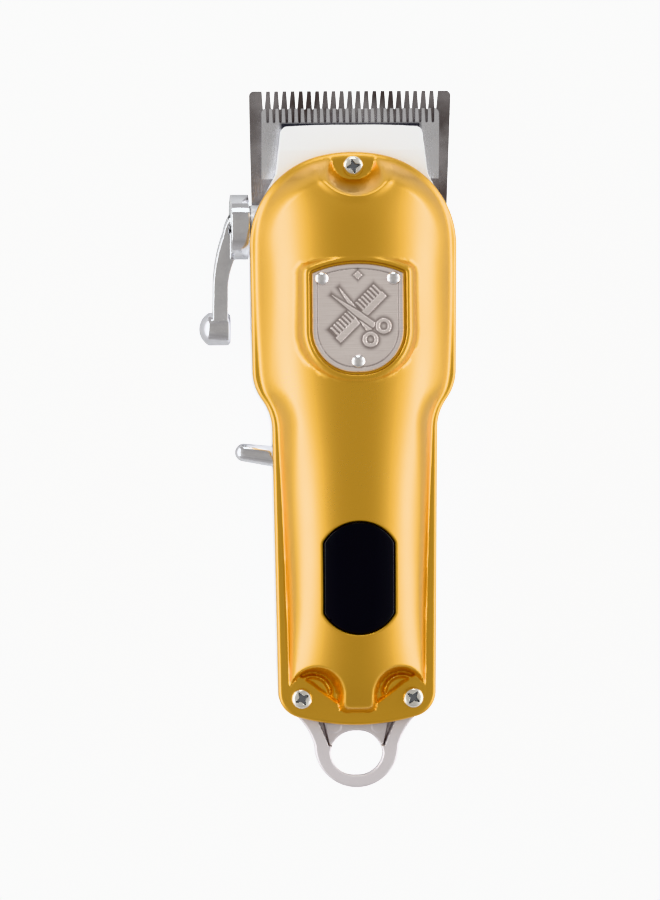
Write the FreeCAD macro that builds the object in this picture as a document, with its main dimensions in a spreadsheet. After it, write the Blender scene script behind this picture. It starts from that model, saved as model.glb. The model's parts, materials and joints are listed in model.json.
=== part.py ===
import FreeCAD, Part
import math
import os
import re

import Sketcher

# A cordless hair clipper lying on its back: +Y runs towards the blades, +Z out of the cover,
# and the taper lever and the power toggle are on the -X side. Lengths are millimetres.

Vector = FreeCAD.Vector
Rotation = FreeCAD.Rotation
Placement = FreeCAD.Placement

SIZES = {
    # plan outline of the casing
    "arch_top": 65.5,
    "arch_radius": 33.0,
    "shoulder_radius": 21.0,
    "head_half": 23.6,
    "waist_half": 23.25,
    "waist_top": 15.8,
    "waist_radius": 11.6,
    "handle_half": 18.85,
    "tail_half": 18.0,
    "tail_corner": 6.0,
    "tail_radius": 49.6,
    "tail_end": 65.3,
    # heights of the casing
    "rim": 20.0,
    "flange": 2.6,
    "band": 2.0,
    "cover_wall": 1.4,
    "crown_foot": 22.0,
    "housing_inset": 0.5,
    "land_front": 26.0,
    "land_back": -45.0,
    "chin_place": 50.8,
    "chin_rise": 7.0,
    "chin_radius": 47.4,
    "chin_end_rise": 19.5,
    "heel_rise": 6.6,
    "heel_radius": 37.0,
    "housing_wall": 1.8,
    "belly_round": 6.0,
    # crown of the cover: place, half width and crest height of each cross-section
    "tip_place": -68.0,
    "tip_half": 17.0,
    "tip_crest": 23.0,
    "tail_place": -56.0,
    "tail_crown_half": 17.3,
    "tail_crest": 28.8,
    "grip_place": -42.0,
    "grip_half": 17.5,
    "grip_crest": 32.5,
    "middle_place": -10.0,
    "middle_half": 17.9,
    "middle_crest": 33.4,
    "neck_place": 18.0,
    "neck_half": 22.2,
    "neck_crest": 34.2,
    "head_place": 42.0,
    "head_crown_half": 23.1,
    "head_crest": 34.8,
    "brow_place": 57.0,
    "brow_half": 22.6,
    "brow_crest": 31.6,
    "front_place": 70.0,
    "front_half": 21.0,
    "front_crest": 24.0,
    # cover screws and the hollows round their heads
    "front_screw_place": 62.1,
    "front_scallop": 7.0,
    "front_scallop_place": 63.6,
    "tail_screw_across": 12.7,
    "tail_screw_place": 59.1,
    "tail_scallop": 5.2,
    "lobe_half": 3.4,
    "lobe_end": 62.4,
    "screw_head": 2.45,
    "screw_head_height": 1.6,
    "screw_shank": 1.3,
    # badge and display window
    "badge_half": 10.45,
    "badge_top": 39.7,
    "badge_corner": 37.5,
    "badge_side_end": 24.7,
    "badge_tip": 15.0,
    "badge_gap": 0.35,
    "badge_bezel": 1.6,
    "badge_boss_top": 34.9,
    "badge_floor": 33.3,
    "badge_thickness": 1.0,
    "rivet_across": 8.15,
    "rivet_upper": 36.3,
    "rivet_lower": 17.5,
    "rivet_radius": 1.55,
    "rivet_rise": 0.65,
    "window_half": 7.95,
    "window_reach": 12.55,
    "window_end_radius": 9.2,
    "window_place": -31.55,
    "window_gap": 0.2,
    "lens_thickness": 1.6,
    # blade set, measured in the blade plane from the tips of the fixed blade
    "tips_place": 79.7,
    "tips_height": 15.5,
    "blade_tilt": 10.0,
    "blade_length": 28.6,
    "blade_half": 23.15,
    "blade_heel_half": 22.4,
    "blade_thickness": 2.4,
    "blade_edge": 0.5,
    "blade_bevel": 10.0,
    "blade_pitch": 1.88,
    "blade_gap_tip": 0.66,
    "blade_gap_root": 0.22,
    "blade_tooth": 4.3,
    "blade_screw_across": 15.2,
    "blade_screw_place": 25.2,
    "cutter_front": 3.9,
    "cutter_rear": 20.0,
    "cutter_half": 20.4,
    "cutter_thickness": 1.9,
    "cutter_lift": 0.03,
    "cutter_pitch": 1.46,
    "cutter_gap_tip": 0.46,
    "cutter_gap_root": 0.3,
    "cutter_tooth": 3.2,
    # nose of the lower housing
    "nose_front": 71.8,
    "nose_half": 16.2,
    "nose_neck_half": 17.3,
    "nose_neck": 60.7,
    "nose_root_half": 20.4,
    "nose_root": 54.6,
    "nose_back": 60.0,
    # drive
    "motor_axis": 16.0,
    "motor_radius": 11.5,
    "motor_back": 12.0,
    "motor_front": 40.0,
    "shaft_radius": 1.0,
    "eccentric_throw": 1.0,
    "eccentric_pin": 1.3,
    "fork_half": 3.55,
    # taper lever
    "lever_place": 48.8,
    "lever_height": 12.5,
    "lever_hub": 7.5,
    "lever_reach": 23.8,
    "lever_droop": 12.0,
    "lever_travel": 36.0,
    "lever_arm_width": 5.6,
    "knob_radius": 3.8,
    "knob_length": 7.2,
    "knob_dome": 2.2,
    "crank_throw": 3.5,
    "crank_pin": 1.2,
    "lever_shaft": 3.0,
    # battery, board, switch, socket and hook
    "battery_radius": 7.1,
    "battery_back": -50.0,
    "battery_front": 0.0,
    "battery_across": 4.5,
    "battery_height": 10.6,
    "board_level": 21.0,
    "board_thickness": 1.6,
    "switch_place": -4.1,
    "switch_height": 13.0,
    "switch_pivot": -16.4,
    "switch_lean": 8.0,
    "toggle_tip": 2.1,
    "toggle_dome": 1.7,
    "socket_height": 9.6,
    "socket_radius": 4.0,
    "socket_bore": 2.75,
    "hook_level": 15.6,
    "hook_thickness": 4.0,
    "hook_end": 79.7,
    "eye_across": 6.0,
    "eye_along": 5.0,
    "eye_place": -71.8,
    "groove_end": -69.9,
}

doc = FreeCAD.newDocument("HairClipper")
sheet = doc.addObject("Spreadsheet::Sheet", "Sizes")
for row, (alias, number) in enumerate(SIZES.items(), start=1):
    sheet.set(f"A{row}", alias.replace("_", " "))
    sheet.set(f"B{row}", str(number))
    sheet.setAlias(f"B{row}", alias)
doc.recompute()

WORD = re.compile(r"[a-z_]+")


def linked(formula):
    """Writes a formula in sheet words the way an expression reads them."""
    return WORD.sub(
        lambda found: f"Sizes.{found[0]}" if found[0] in SIZES else found[0], str(formula)
    )


def worth(formula):
    """The number that a formula in sheet words stands for."""
    return float(sheet.evalExpression(linked(formula)))


def bind(thing, **formulas):
    """Binds properties of an object to formulas in sheet words; __ stands for a dot."""
    for name, formula in formulas.items():
        thing.setExpression(name.replace("__", "."), linked(formula))


# ---------------------------------------------------------------- drawing and solids


def new_body(label):
    """An empty body with a label."""
    body = doc.addObject("PartDesign::Body", label)
    body.Label = label
    return body


def new_sketch(body, plane="XY_Plane", level="0"):
    """An empty sketch on one of the body's own origin planes, lifted along its normal."""
    sketch = body.newObject("Sketcher::SketchObject", f"{body.Name}_sketch")
    support = [feature for feature in body.Origin.OriginFeatures if feature.Role == plane][0]
    sketch.AttachmentSupport = (support, [""])
    sketch.MapMode = "FlatFace"
    bind(sketch, AttachmentOffset__Base__z=level)
    return sketch


def pin_point(sketch, element, end, across, along):
    """Holds one end of a sketch element at bound coordinates."""
    for kind, formula in (("DistanceX", across), ("DistanceY", along)):
        index = sketch.addConstraint(Sketcher.Constraint(kind, element, end, worth(formula)))
        sketch.setExpression(f"Constraints[{index}]", linked(formula))


def arc_between(start, end, radius):
    """The shorter arc between two points, turning clockwise when the radius is positive."""
    chord = end - start
    half = chord.Length / 2
    middle = (start + end) / 2
    side = Vector(-chord.y, chord.x, 0).normalize()
    rise = abs(radius) - math.sqrt(max(radius * radius - half * half, 0.0))
    return Part.Arc(start, middle + side * math.copysign(rise, radius), end)


def draw_loop(sketch, corners):
    """Draws a closed loop. A corner is (across, along), or (across, along, radius) when the
    stretch that ends there is an arc."""
    places = [Vector(worth(corner[0]), worth(corner[1]), 0) for corner in corners]
    for index, corner in enumerate(corners):
        start = places[index - 1]
        end = places[index]
        if len(corner) == 3:
            radius = worth(corner[2])
            edge = arc_between(start, end, radius).toShape()
            element = sketch.addGeometry(edge.Curve.trim(*edge.ParameterRange))
            clockwise = radius > 0
            starts_at = 2 if clockwise else 1
            ends_at = 1 if clockwise else 2
            bound = sketch.addConstraint(Sketcher.Constraint("Radius", element, abs(radius)))
            sketch.setExpression(f"Constraints[{bound}]", linked(f"abs({corner[2]})"))
        else:
            element = sketch.addGeometry(Part.LineSegment(start, end))
            starts_at = 1
            ends_at = 2
        pin_point(sketch, element, ends_at, corner[0], corner[1])
        if index:
            sketch.addConstraint(
                Sketcher.Constraint("Coincident", last[0], last[1], element, starts_at)
            )
        else:
            opening = (element, starts_at)
        last = (element, ends_at)
    sketch.addConstraint(Sketcher.Constraint("Coincident", last[0], last[1], *opening))


def draw_circle(sketch, across, along, radius):
    """Draws a circle held at a bound centre and radius."""
    centre = Vector(worth(across), worth(along), 0)
    element = sketch.addGeometry(Part.Circle(centre, Vector(0, 0, 1), worth(radius)))
    pin_point(sketch, element, 3, across, along)
    bound = sketch.addConstraint(Sketcher.Constraint("Radius", element, worth(radius)))
    sketch.setExpression(f"Constraints[{bound}]", linked(radius))


def mirrored(right):
    """A loop symmetric about the Y axis from its right half, which starts and ends on it."""
    left = []
    for index in range(len(right) - 1, 0, -1):
        across, along = right[index - 1][:2]
        corner = (f"-({across})", along) + tuple(right[index][2:3])
        left.append(corner)
    return right[1:] + left


def pad(body, sketch, length, both_ways=False, down=False):
    """Raises a sketch's area into a solid."""
    feature = body.newObject("PartDesign::Pad", f"{body.Name}_pad")
    feature.Profile = sketch
    feature.Midplane = both_ways
    feature.Reversed = down
    bind(feature, Length=length)
    sketch.Visibility = False
    return feature


def pocket(body, sketch, length, both_ways=False, up=False):
    """Cuts a sketch's area away, down from the sketch unless up or both ways."""
    doc.recompute()
    before = body.Shape.Volume
    feature = body.newObject("PartDesign::Pocket", f"{body.Name}_pocket")
    feature.Profile = sketch
    feature.Midplane = both_ways
    feature.Reversed = up
    bind(feature, Length=length)
    doc.recompute()
    if before - body.Shape.Volume < 1e-3:
        raise RuntimeError(f"{feature.Name} cuts nothing")
    return feature


def prism(label, corners, level, height, circles=()):
    """A straight-sided solid on a plan outline, standing on a level, with round holes."""
    body = new_body(label)
    sketch = new_sketch(body, level=level)
    draw_loop(sketch, corners)
    for circle in circles:
        draw_circle(sketch, *circle)
    pad(body, sketch, height)
    return body


def side_prism(label, corners, width, level="0"):
    """A solid with a side-view outline in Y and Z, as wide each way from the middle."""
    body = new_body(label)
    sketch = new_sketch(body, "YZ_Plane", level)
    draw_loop(sketch, corners)
    pad(body, sketch, width, both_ways=True)
    return body


def turned(label, profile):
    """A turned solid: the profile's corners are (along the axis, radius), axis along X."""
    body = new_body(label)
    sketch = new_sketch(body)
    draw_loop(sketch, profile)
    feature = body.newObject("PartDesign::Revolution", f"{label}_turn")
    feature.Profile = sketch
    feature.ReferenceAxis = (sketch, ["H_Axis"])
    feature.Angle = 360
    return body


def along_y(thing, across, along, height):
    """Stands a solid turned about X along the Y axis instead, at a place."""
    thing.Placement = Placement(
        Vector(worth(across), worth(along), worth(height)), Rotation(Vector(0, 0, 1), 90)
    )
    bind(thing, Placement__Base__x=across, Placement__Base__y=along, Placement__Base__z=height)
    return thing


def along_z(thing, across, along, height):
    """Stands a solid turned about X upright instead, its +X end down."""
    thing.Placement = Placement(
        Vector(worth(across), worth(along), worth(height)), Rotation(Vector(0, 1, 0), 90)
    )
    bind(thing, Placement__Base__x=across, Placement__Base__y=along, Placement__Base__z=height)
    return thing


def block(label, low, high):
    """A box between two corners given in sheet words."""
    box = doc.addObject("Part::Box", label)
    box.Label = label
    for axis, size, start, end in zip("xyz", ("Length", "Width", "Height"), low, high):
        bind(box, **{size: f"({end}) - ({start})", f"Placement__Base__{axis}": start})
    return box


def rod(label, radius, length, base, axis="z"):
    """A cylinder from a base point along +X, +Y or +Z."""
    cylinder = doc.addObject("Part::Cylinder", label)
    cylinder.Label = label
    turn = {"z": Rotation(), "x": Rotation(Vector(0, 1, 0), 90), "y": Rotation(Vector(1, 0, 0), -90)}
    cylinder.Placement = Placement(Vector(), turn[axis])
    bind(cylinder, Radius=radius, Height=length)
    for name, formula in zip("xyz", base):
        bind(cylinder, **{f"Placement__Base__{name}": formula})
    return cylinder


def combine(kind, label, things):
    """An object of a boolean kind that joins several solids."""
    result = doc.addObject(kind, label)
    result.Label = label
    result.Shapes = things
    return result


def fuse(label, *things):
    """The union of solids."""
    return combine("Part::MultiFuse", label, list(things))


def common(label, *things):
    """What solids have in common."""
    return combine("Part::MultiCommon", label, list(things))


def cut(label, base, *tools):
    """A solid with others taken away."""
    result = doc.addObject("Part::Cut", label)
    result.Label = label
    result.Base = base
    result.Tool = tools[0] if len(tools) == 1 else fuse(f"{label}_tools", *tools)
    return result


def group(label, things):
    """Separate solids under one label."""
    result = doc.addObject("Part::Compound", label)
    result.Label = label
    result.Links = things
    return result


def in_blade_plane(thing):
    """Moves a solid drawn flat, tips at Y = 0, onto the tilted blade plane."""
    thing.Placement = Placement(
        Vector(0, worth("tips_place"), worth("tips_height")),
        Rotation(Vector(1, 0, 0), worth("blade_tilt")),
    )
    bind(thing, Placement__Base__y="tips_place", Placement__Base__z="tips_height")
    return thing


# ---------------------------------------------------------------- outlines


def casing_outline(inset="0"):
    """Right half of the casing's plan, front to tail, offset inwards."""
    inset = f"({inset})"
    arch = "(arch_radius - shoulder_radius)"
    shoulder_lean = f"((head_half - shoulder_radius) / {arch})"
    tail_lean = "((tail_half - tail_corner) / (tail_radius - tail_corner))"
    waist_cos = "(1 - (waist_half - handle_half) / (2 * waist_radius))"
    waist_sin = f"sqrt(1 - {waist_cos}^2)"
    arch_centre = "(arch_top - arch_radius)"
    tail_centre = "(tail_radius - tail_end)"
    return [
        ("0", f"arch_top - {inset}"),
        (
            f"(arch_radius - {inset}) * {shoulder_lean}",
            f"{arch_centre} + (arch_radius - {inset}) * sqrt(1 - {shoulder_lean}^2)",
            f"arch_radius - {inset}",
        ),
        (
            f"head_half - {inset}",
            f"{arch_centre} + {arch} * sqrt(1 - {shoulder_lean}^2)",
            f"shoulder_radius - {inset}",
        ),
        (f"waist_half - {inset}", "waist_top"),
        (
            f"waist_half - waist_radius + (waist_radius - {inset}) * {waist_cos}",
            f"waist_top - (waist_radius - {inset}) * {waist_sin}",
            f"waist_radius - {inset}",
        ),
        (
            f"handle_half - {inset}",
            f"waist_top - 2 * waist_radius * {waist_sin}",
            f"-(waist_radius + {inset})",
        ),
        (
            f"tail_half - {inset}",
            f"{tail_centre} - (tail_radius - tail_corner) * sqrt(1 - {tail_lean}^2)",
        ),
        (
            f"(tail_radius - {inset}) * {tail_lean}",
            f"{tail_centre} - (tail_radius - {inset}) * sqrt(1 - {tail_lean}^2)",
            f"tail_corner - {inset}",
        ),
        ("0", f"-tail_end + {inset}", f"tail_radius - {inset}"),
    ]


def bulge_outline():
    """Right half of the raised part of the cover, hollowed round the three screws."""
    casing = casing_outline("band")
    side = "(tail_half - band - 0.05)"
    return (
        [("0", "front_scallop_place - front_scallop")]
        + [casing[1][:2] + ("-front_scallop",)]
        + casing[2:6]
        + [
            (
                side,
                f"-tail_screw_place + sqrt(tail_scallop^2 - ({side} - tail_screw_across)^2)",
            ),
            ("tail_screw_across - tail_scallop", "-tail_screw_place", "-tail_scallop"),
            ("lobe_half", "-lobe_end"),
            ("0", "-lobe_end"),
        ]
    )


def badge_outline(grow="0"):
    """Right half of the shield shape of the badge."""
    drop = "(badge_top - badge_corner)"
    fall = "(badge_side_end - badge_tip)"
    return [
        ("0", f"badge_top + {grow}"),
        (
            f"badge_half + {grow}",
            f"badge_corner + {grow}",
            f"(badge_half^2 + {drop}^2) / (2 * {drop}) + 2 * ({grow})",
        ),
        (f"badge_half + {grow}", "badge_side_end"),
        (
            "0",
            f"badge_tip - {grow}",
            f"(badge_half^2 + {fall}^2) / (2 * badge_half) + {grow} + 0.02",
        ),
    ]


def window_outline(grow="0"):
    """Right half of the long display window with its arched ends."""
    end = "(window_end_radius - sqrt(window_end_radius^2 - window_half^2))"
    arch = f"window_end_radius + {grow}"
    return [
        ("0", f"window_place + window_reach + {grow}"),
        (f"window_half + {grow}", f"window_place + window_reach - {end}", arch),
        (f"window_half + {grow}", f"window_place - window_reach + {end}"),
        ("0", f"window_place - window_reach - {grow}", arch),
    ]


# ---------------------------------------------------------------- cover


def crown(label, drop="0"):
    """The crowned solid whose top is the cover's surface, lowered by a drop."""
    body = new_body(label)
    sections = []
    for place, half, crest in (
        ("tip_place", "tip_half", "tip_crest"),
        ("tail_place", "tail_crown_half", "tail_crest"),
        ("grip_place", "grip_half", "grip_crest"),
        ("middle_place", "middle_half", "middle_crest"),
        ("neck_place", "neck_half", "neck_crest"),
        ("head_place", "head_crown_half", "head_crest"),
        ("brow_place", "brow_half", "brow_crest"),
        ("front_place", "front_half", "front_crest"),
    ):
        sketch = new_sketch(body, "XZ_Plane", f"-({place})")
        rise = f"({crest} - crown_foot)"
        foot = f"crown_foot - ({drop})"
        radius = f"({half}^2 + {rise}^2) / (2 * {rise})"
        draw_loop(sketch, [(f"-{half}", foot), (half, foot, radius)])
        sections.append(sketch)
    feature = body.newObject("PartDesign::AdditiveLoft", f"{label}_loft")
    feature.Profile = sections[0]
    feature.Sections = sections[1:]
    return body


def screw_places():
    """Place and seat of each cover screw."""
    seat = "rim + flange"
    return [
        ("0", "front_screw_place", seat),
        ("tail_screw_across", "-tail_screw_place", seat),
        ("-tail_screw_across", "-tail_screw_place", seat),
    ]


def make_cover():
    """The gold cover with its hollow, badge recess and window, and the lens in the window."""
    outer_crown = crown("cover_crown")
    inner_crown = crown("cover_crown_inside", "cover_wall")
    plate = prism("cover_flange", mirrored(casing_outline()), "rim", "flange")
    raised = prism("cover_bulge", mirrored(bulge_outline()), "rim", "flange + 16")
    boss = prism(
        "badge_boss",
        mirrored(badge_outline("badge_bezel")),
        "rim + flange",
        "badge_boss_top - rim - flange",
    )
    hollow = prism(
        "cover_hollow_plan", mirrored(casing_outline("band + cover_wall")), "rim - 1", "30"
    )
    reach = block("cover_hollow_reach", ("-30", "-53", "rim - 1"), ("30", "54.6", "40"))
    below = block("cover_hollow_foot", ("-30", "-53", "rim - 1"), ("30", "54.6", "crown_foot"))
    under = fuse("cover_hollow_crown", inner_crown, below)
    cavity = common("cover_hollow", hollow, reach, under)
    recess = prism(
        "badge_recess", mirrored(badge_outline("badge_gap")), "badge_floor", "5"
    )
    window = prism("window_opening", mirrored(window_outline("window_gap")), "rim", "20")
    holes = [
        rod(f"cover_hole_{i}", "screw_shank + 0.2", "6", (x, y, "rim - 1"))
        for i, (x, y, _) in enumerate(screw_places(), start=1)
    ]
    rivet_holes = [
        rod(f"rivet_hole_{i}", "0.82", "4", (x, y, "badge_floor - 3"))
        for i, (x, y) in enumerate(rivet_places(), start=1)
    ]
    solid = fuse("cover_solid", plate, common("cover_raised", raised, outer_crown), boss)
    keep = prism(
        "badge_backing",
        mirrored(badge_outline("badge_bezel")),
        "badge_floor - 1.5",
        "badge_boss_top - badge_floor + 1.5",
    )
    shell = fuse("cover_shell", cut("cover_open", solid, cavity), keep)
    cover = cut("top_cover", shell, recess, window, *holes, *rivet_holes)
    lens_plan = prism("lens_plan", mirrored(window_outline()), "rim", "20")
    lens_full = common("lens_full", lens_plan, outer_crown)
    lens_under = crown("lens_underside", "lens_thickness")
    lens = cut("display_lens", lens_full, lens_under)
    return [cover, lens]


def rivet_places():
    """Place of each badge rivet."""
    return [
        ("rivet_across", "rivet_upper"),
        ("-rivet_across", "rivet_upper"),
        ("0", "rivet_lower"),
    ]


def make_badge():
    """The shield plate and its three domed rivets."""
    plate = prism(
        "badge_plate",
        mirrored(badge_outline()),
        "badge_floor",
        "badge_thickness",
        [(x, y, "0.82") for x, y in rivet_places()],
    )
    rivets = []
    dome = "(rivet_radius^2 + rivet_rise^2) / (2 * rivet_rise)"
    for index, (x, y) in enumerate(rivet_places(), start=1):
        rivet = turned(
            f"badge_rivet_{index}",
            [
                ("-rivet_rise", "0"),
                ("0", "rivet_radius", dome),
                ("0", "0.8"),
                ("badge_thickness + 2.2", "0.8"),
                ("badge_thickness + 2.2", "0"),
            ],
        )
        rivets.append(along_z(rivet, x, y, "badge_floor + badge_thickness"))
    return [plate, group("badge_rivets", rivets)]


def pan_screw(label, head, height, shank, length):
    """A pan-head screw turned about X, its seat at X = 0, with a cross recess in the head."""
    body = turned(
        label,
        [
            (f"-{height}", "0"),
            (f"-{height}", f"{head} * 0.62"),
            (f"-{height} * 0.35", head, f"{head} * 0.75"),
            ("0", head),
            ("0", shank),
            (length, shank),
            (length, "0"),
        ],
    )
    sketch = new_sketch(body, "YZ_Plane", f"-({height})")
    arm = f"({head} * 0.55)"
    slot = f"({head} * 0.13)"
    steps = [(slot, arm), (slot, slot), (arm, slot), (arm, f"-{slot}"), (slot, f"-{slot}")]
    steps += [(slot, f"-{arm}"), (f"-{slot}", f"-{arm}"), (f"-{slot}", f"-{slot}")]
    steps += [(f"-{arm}", f"-{slot}"), (f"-{arm}", slot), (f"-{slot}", slot), (f"-{slot}", arm)]
    draw_loop(sketch, steps)
    pocket(body, sketch, f"{height} * 0.6", up=True)
    return body


def make_cover_screws():
    """The short front screw and the two long tail screws."""
    screws = []
    lengths = ("5.4", "13", "13")
    for index, (place, length) in enumerate(zip(screw_places(), lengths), start=1):
        label = f"cover_screw_{index}"
        screw = pan_screw(label, "screw_head", "screw_head_height", "screw_shank", length)
        screws.append(along_z(screw, *place))
    return [group("cover_screws", screws)]


# ---------------------------------------------------------------- lower housing and hook


def hook_outline():
    """Right half of the hanging hook: a plate under the cover that runs out into a loop."""
    return [
        ("0", "-53.4"),
        ("tail_half - housing_inset - 0.4", "-53.4"),
        ("tail_half - housing_inset - 0.4", "-57.6"),
        ("15.4", "-61.9", "5.6"),
        ("9.6", "-70.2", "-14.5"),
        ("0", "-hook_end", "9.6"),
    ]


def blade_space():
    """Side view of everything below the blade seat, with a step up in front for the cutter."""
    slope = "tan(blade_tilt)"
    heel = "(tips_place - blade_length - 0.3)"
    step = "(nose_back - 0.5)"
    above = "(cutter_thickness + 0.45)"
    return [
        (heel, "-5"),
        (heel, f"tips_height - (tips_place - {heel}) * {slope}"),
        (step, f"tips_height - (tips_place - {step}) * {slope}"),
        (step, f"tips_height - (tips_place - {step}) * {slope} + {above}"),
        ("nose_front + 5", f"tips_height - (tips_place - nose_front - 5) * {slope} + {above}"),
        ("nose_front + 5", "-5"),
    ]


def side_outline(inset, back, front):
    """Side view of the lower housing: a flat land to lie on, rising to the tail and the head."""
    level = f"({inset})"
    return [
        ("land_front", level),
        ("chin_place", f"chin_rise + {level}", "-chin_radius"),
        (front, f"chin_end_rise + {level}"),
        (front, "rim + 1"),
        (back, "rim + 1"),
        (back, f"heel_rise + {level}"),
        ("land_back", level, "-heel_radius"),
    ]


def rounded_block(label, inset, wall, radius, reach):
    """The casing below the rim as one block, its lower edges rounded."""
    name = label.replace("_block", "")
    plan = prism(f"{name}_plan", mirrored(casing_outline(inset)), "-1", "rim + 1")
    side = side_prism(f"{name}_side", side_outline(wall, *reach), "60")
    square = common(f"{name}_square", plan, side)
    doc.recompute()
    block_round = doc.addObject("Part::Fillet", label)
    block_round.Base = square
    chosen = []
    for index, edge in enumerate(square.Shape.Edges, start=1):
        box = edge.BoundBox
        across = box.YLength < 0.01 and abs(box.XMin + box.XMax) < 0.1
        if box.ZMax < worth("rim") - 0.1 and box.ZLength < 12.9 and not across:
            chosen.append((index, worth(radius), worth(radius)))
    block_round.Edges = chosen
    return block_round


def make_housing():
    """The silver lower half with its nose, screw posts, blade seat and openings."""
    outside = rounded_block("housing_block", "housing_inset", "0", "belly_round", ("-66", "70"))
    inside = rounded_block(
        "hollow_block",
        "housing_inset + housing_wall",
        "housing_wall",
        "belly_round - housing_wall",
        ("-66", "70"),
    )
    reach = block("hollow_reach", ("-30", "-63", "0"), ("30", "nose_back", "30"))
    slide_room = block("slide_room", ("-12.3", "51", "8"), ("12.3", "nose_back", "30"))
    room = fuse("housing_hollow", common("housing_room", inside, reach), slide_room)
    carrier_space = block("carrier_space", ("-10.6", "-22", "0.5"), ("10.6", "-13.2", "4.6"))
    carrier_room = in_blade_plane(group("carrier_room", [carrier_space]))
    nose = prism(
        "nose",
        mirrored(
            [
                ("0", "nose_front"),
                ("nose_half - 1.2", "nose_front - 0.35", "180"),
                ("nose_half", "nose_front - 1.6", "1.6"),
                ("nose_neck_half", "nose_neck"),
                ("nose_root_half", "nose_root"),
                ("0", "nose_root"),
            ]
        ),
        "10",
        "rim - 10",
    )
    nose_slope = side_prism(
        "nose_slope",
        [("66", "rim"), ("nose_front + 3", "rim - 1.3"), ("nose_front + 3", "rim + 3"),
         ("66", "rim + 3")],
        "50",
    )
    seats = []
    for side, low, high in (("left", "-19.4", "-12.6"), ("right", "12.6", "19.4")):
        seats.append(block(f"seat_{side}", (low, "52.9", "8"), (high, "nose_back", "15")))
    seat_room = common(
        "blade_seats", fuse("blade_seat_blocks", *seats), outside
    )
    posts = [
        rod(f"tail_post_{i}", "3", "hook_level - 2.2", (x, "-tail_screw_place", "2.2"))
        for i, x in enumerate(("tail_screw_across", "-tail_screw_across"), start=1)
    ]
    post_room = common("tail_posts", fuse("tail_post_rods", *posts), outside)
    boss = rod("lever_boss", "5", "4.6", ("-23.05", "lever_place", "lever_height"), "x")
    space = side_prism("blade_space", blade_space(), "60")
    hook_room = block("hook_room", ("-30", "-70", "hook_level"), ("30", "-53", "30"))
    bores = [
        rod("lever_bore", "lever_shaft + 0.05", "8", ("-25", "lever_place", "lever_height"), "x"),
        rod("switch_hole", "3.4", "6", ("-21", "switch_place", "switch_height"), "x"),
        rod("socket_hole", "socket_radius", "6", ("0", "-67", "socket_height"), "y"),
    ]
    for index, (x, y, _) in enumerate(screw_places(), start=1):
        foot = "13.5" if index == 1 else "7"
        bores.append(rod(f"post_hole_{index}", "screw_shank + 0.04", "20", (x, y, foot)))
    for index, x in enumerate(("blade_screw_across", "-blade_screw_across"), start=1):
        bore = rod(f"seat_hole_{index}", "1.25", "7", (x, "-blade_screw_place", "-1"))
        bores.append(in_blade_plane(group(f"seat_bore_{index}", [bore])))
    walls = cut("housing_walls", fuse("housing_outer", outside, nose), room)
    full = fuse("housing_full", walls, seat_room, post_room, boss)
    housing = cut("lower_housing", full, space, nose_slope, hook_room, carrier_room, *bores)

    plate = prism(
        "hook_plate",
        mirrored(hook_outline()),
        "hook_level",
        "hook_thickness",
        [(x, "-tail_screw_place", "screw_shank + 0.1")
         for x in ("tail_screw_across", "-tail_screw_across")],
    )
    eye_ring = new_body("hook_eye")
    eye_sketch = new_sketch(eye_ring, level="hook_level - 2")
    eye = [("0", "eye_place + eye_along"), ("eye_across", "eye_place", "5.6"),
           ("0", "eye_place - eye_along", "5.6")]
    draw_loop(eye_sketch, mirrored(eye))
    pad(eye_ring, eye_sketch, "hook_thickness + 6")
    web = block("hook_web_recess", ("-7.4", "-70", "hook_level + 2.8"), ("7.4", "-58", "24"))
    grooves = []
    for name, side in (("left", "-"), ("right", "")):
        corners = [(f"{side}7.7", "-61"), (f"{side}10.4", "-61"), (f"{side}6.9", "groove_end"),
                   (f"{side}6.4", "groove_end")]
        grooves.append(prism(f"hook_groove_{name}", corners, "hook_level + 1", "8"))
    hook = cut("hanging_hook", plate, eye_ring, web, *grooves)
    return [housing, hook]


# ---------------------------------------------------------------- blade set


def comb(label, half, heel_half, front, rear, thickness, lift, teeth):
    """A toothed blade drawn flat: teeth is (pitch, gap at the tip, gap at the root, depth,
    number of gaps)."""
    pitch, tip_gap, root_gap, depth, gaps = teeth
    body = new_body(label)
    plan = new_sketch(body, level=lift)
    draw_loop(
        plan,
        mirrored(
            [
                ("0", f"-({front})"),
                (f"{half} - 0.9", f"-({front})"),
                (half, f"-({front}) - 1.1", "1.15"),
                (heel_half, f"-({rear})"),
                ("0", f"-({rear})"),
            ]
        ),
    )
    pad(body, plan, thickness, down=lift == "0")
    gap_sketch = new_sketch(body, level=f"{lift} + 3")
    middle = f"-({gaps} - 1) * {pitch} / 2"
    draw_loop(
        gap_sketch,
        [
            (f"{middle} - {tip_gap}", f"-({front}) + 2"),
            (f"{middle} + {tip_gap}", f"-({front}) + 2"),
            (f"{middle} + {root_gap}", f"-({front}) - {depth} + {root_gap}"),
            (f"{middle} - {root_gap}", f"-({front}) - {depth} + {root_gap}", root_gap + "* 1.02"),
        ],
    )
    first = pocket(body, gap_sketch, "9")
    row = body.newObject("PartDesign::LinearPattern", f"{label}_row")
    row.Originals = [first]
    row.Direction = (gap_sketch, ["H_Axis"])
    row.Occurrences = gaps
    bind(row, Length=f"({gaps} - 1) * {pitch}")
    body.Tip = row
    return body


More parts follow.
